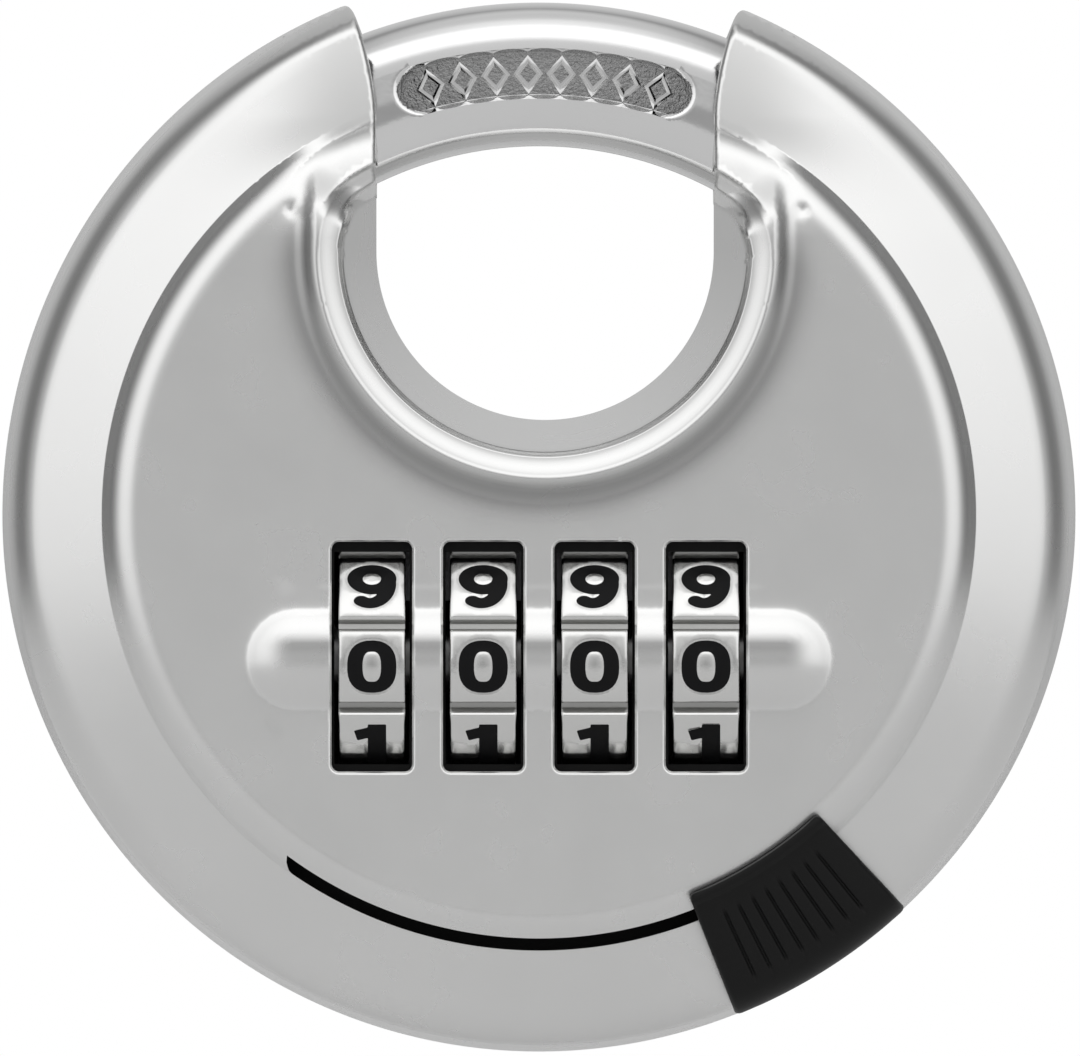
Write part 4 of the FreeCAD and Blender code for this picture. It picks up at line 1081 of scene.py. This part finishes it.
FINISHES = {
    # Painted shade: the shells' base colour is up to 52% darker in the valley outside the bead; the
    # same darkening makes the guard's darker band
    "shell_steel": finish(
        "satin_steel", (0.8, 0.8, 0.795), 1, 0.27, grain=0.09, bump=0.2, depth=0.003, shade_and_band=0.52
    ),
    "shackle_chrome": finish(
        "plated_steel", (0.86, 0.86, 0.86), 1, 0.1, grain=0.5, bump=0.3, depth=0.01
    ),
    "tab_plastic": finish(
        "black_plastic", (0.007, 0.007, 0.007), 0, 0.45, grain=0.12, bump=0.4, depth=0.02,
        Specular_IOR_Level=0.18,
    ),
    "black_strip": finish("black_strip", (0.003, 0.003, 0.003), 0, 0.6, Specular_IOR_Level=0.15),
    "dial_steel": finish(
        "dial_plating", (0.77, 0.77, 0.76), 1, 0.16, grain=0.5, bump=0.4, depth=0.012
    ),
    "sleeve_brass": finish("sleeve_brass", (0.72, 0.5, 0.22), 1, 0.3),
    # The zinc is far darker than bare zinc: painted shade where the chassis shows through the gaps
    "chassis_zinc": finish("cast_zinc_painted_shade", (0.16, 0.16, 0.17), 1, 0.6, grain=0.3, bump=0.5, depth=0.02),
    "plain_steel": finish("machined_steel", (0.5, 0.5, 0.5), 1, 0.35),
    "hard_steel": finish("hardened_steel", (0.2, 0.2, 0.21), 1, 0.4),
    "spring_steel": finish("spring_steel", (0.45, 0.45, 0.47), 1, 0.3),
    "seal_rubber": finish("seal_rubber", (0.015, 0.015, 0.015), 0, 0.7),
}
DIGIT_INK = finish(
    "digit_ink", (0.004, 0.004, 0.0045), 0, 0.45, grain=0.3, bump=0.2, depth=0.01,
    Specular_IOR_Level=0.15,
)
# Darker steel for the grooves between the dial's flats: painted shade
SHADED_DIAL_GROOVE = finish("dial_groove_shade", (0.42, 0.42, 0.41), 1, 0.35, grain=0.25, bump=0.6, depth=0.03)
PANEL_GRAIN = finish(
    "panel_grain", (0.3, 0.3, 0.3), 1, 0.2, grain=0.2, bump=1.0, depth=0.2, blotch=0.2
)


def dress(piece, *materials):
    """Give a piece its finishes, keeping which face has which."""
    mesh = piece.data
    chosen = [0] * len(mesh.polygons)
    mesh.polygons.foreach_get("material_index", chosen)
    mesh.materials.clear()
    for material in materials:
        mesh.materials.append(material)
    mesh.polygons.foreach_set("material_index", [min(c, len(materials) - 1) for c in chosen])


def dress_frame():
    """Give every CAD node the finish of its slot."""
    slots = {part["node"]: part["material_slot"] for part in frame["record"]["subparts"]}
    for name, node in frame["nodes"].items():
        dress(node, FINISHES[slots[name]])


# ---- studio

SKY = (
    # angle from the viewing side in degrees, brightness there
    (0, 0.485), (14, 0.5), (27, 0.8), (38, 1.0), (54, 0.98), (66, 0.62),
    (76, 0.36), (90, 0.17), (108, 0.2), (135, 0.42), (160, 0.47), (180, 0.5),
)


def studio():
    """A soft surround: grey behind the viewer, a bright ring, dark to the sides."""
    world = bpy.data.worlds.new("studio")
    bpy.context.scene.world = world
    world.use_nodes = True
    tree = world.node_tree
    link = tree.links.new

    def maths(operation, first, second=0.0):
        node = add_node(tree, "Math")
        node.operation = operation
        for socket, value in zip(node.inputs, (first, second)):
            if isinstance(value, (int, float)):
                socket.default_value = value
            else:
                link(value, socket)
        return node.outputs[0]

    place = add_node(tree, "TexCoord")
    parts = add_node(tree, "SeparateXYZ")
    link(place.outputs["Generated"], parts.inputs["Vector"])
    x, y, z = parts.outputs
    angle = maths("ARCCOSINE", maths("MULTIPLY", y, -1.0))
    ring = add_node(tree, "FloatCurve")
    points = ring.mapping.curves[0].points
    top = max(brightness for _, brightness in SKY)
    for point, (turn, brightness) in zip(points, (SKY[0], SKY[-1])):
        point.location = (turn / 180, brightness / top)
    for turn, brightness in SKY[1:-1]:
        points.new(turn / 180, brightness / top)
    ring.mapping.update()
    link(maths("DIVIDE", angle, math.pi), ring.inputs["Value"])
    across = maths("SQRT", maths("ADD", maths("MULTIPLY", x, x), maths("MULTIPLY", z, z)))
    up = maths("DIVIDE", z, maths("MAXIMUM", across, 0.05))
    tilt = maths("ADD", 1.0, maths("MULTIPLY", up, 0.32))
    around = maths("MULTIPLY", maths("MULTIPLY", ring.outputs["Value"], top), tilt)
    overhead = add_node(tree, "MapRange", From_Min=0.86, From_Max=0.98, To_Max=0.4)
    overhead.interpolation_type = "SMOOTHSTEP"
    link(z, overhead.inputs["Value"])
    radiance = maths("ADD", around, overhead.outputs["Result"])
    plain = tree.nodes["Background"]
    link(radiance, plain.inputs["Strength"])
    plain.inputs["Color"].default_value = (1, 1, 1, 1)
    white = add_node(tree, "Background", Color=(1, 1, 1, 1))
    path = add_node(tree, "LightPath")
    mix = add_node(tree, "MixShader")
    link(path.outputs["Is Camera Ray"], mix.inputs["Fac"])
    link(plain.outputs["Background"], mix.inputs[1])
    link(white.outputs["Background"], mix.inputs[2])
    link(mix.outputs["Shader"], tree.nodes["World Output"].inputs["Surface"])
    bpy.context.scene.view_settings.view_transform = "Standard"


FLOOR_RADIUS, FLOOR_Z, FLOOR_GLOW = 0.4, -0.065, 0.1


def floor():
    """A plain pale disc of floor below the lock."""
    bm = bmesh.new()
    bmesh.ops.create_circle(bm, cap_ends=True, segments=96, radius=FLOOR_RADIUS)
    bmesh.ops.translate(bm, verts=bm.verts, vec=(0, 0, FLOOR_Z))
    mesh = bpy.data.meshes.new("floor")
    bm.to_mesh(mesh)
    bm.free()
    ground = placed("floor", mesh)
    paper = finish("floor_paper", (0.76, 0.76, 0.76), 0, 0.7, grain=1.0)
    glow = paper.node_tree.nodes["Principled BSDF"].inputs
    glow["Emission Color"].default_value = (1, 1, 1, 1)
    glow["Emission Strength"].default_value = FLOOR_GLOW
    ground.data.materials.append(paper)


# A lens much longer than this one moves the views from other angles past their clipping distance.
CAMERA_DISTANCE = 2.5
CAMERA_WIDTH = 70.45 * MM
CAMERA_X, CAMERA_Z = 0.07 * MM, -0.85 * MM


def camera():
    """A long lens square to the front, framing the disc's width."""
    data = bpy.data.cameras.new("camera")
    data.sensor_width = 36
    data.lens = data.sensor_width * CAMERA_DISTANCE / CAMERA_WIDTH
    view = placed("camera", data)
    view.location = (CAMERA_X, -CAMERA_DISTANCE, CAMERA_Z)
    view.rotation_euler = (math.radians(90), 0, 0)
    bpy.context.scene.camera = view


# ---- build

camera()
studio()
floor()
dress_frame()
dress(pressed_shell("shell_front", -1, "front_shell"), FINISHES["shell_steel"])
dress(pressed_shell("shell_rear", 1, "rear_shell"), FINISHES["shell_steel"])
SECTORS = [dial_sector(digit) for digit in range(10)]
for dial_number in range(1, 5):
    dress(dial_mesh(dial_number), FINISHES["dial_steel"], DIGIT_INK, SHADED_DIAL_GROOVE)
dress(shackle_mesh(), FINISHES["shackle_chrome"], PANEL_GRAIN)
dress(panel_lozenges(), FINISHES["shackle_chrome"])
dress(tab_mesh(), FINISHES["tab_plastic"])
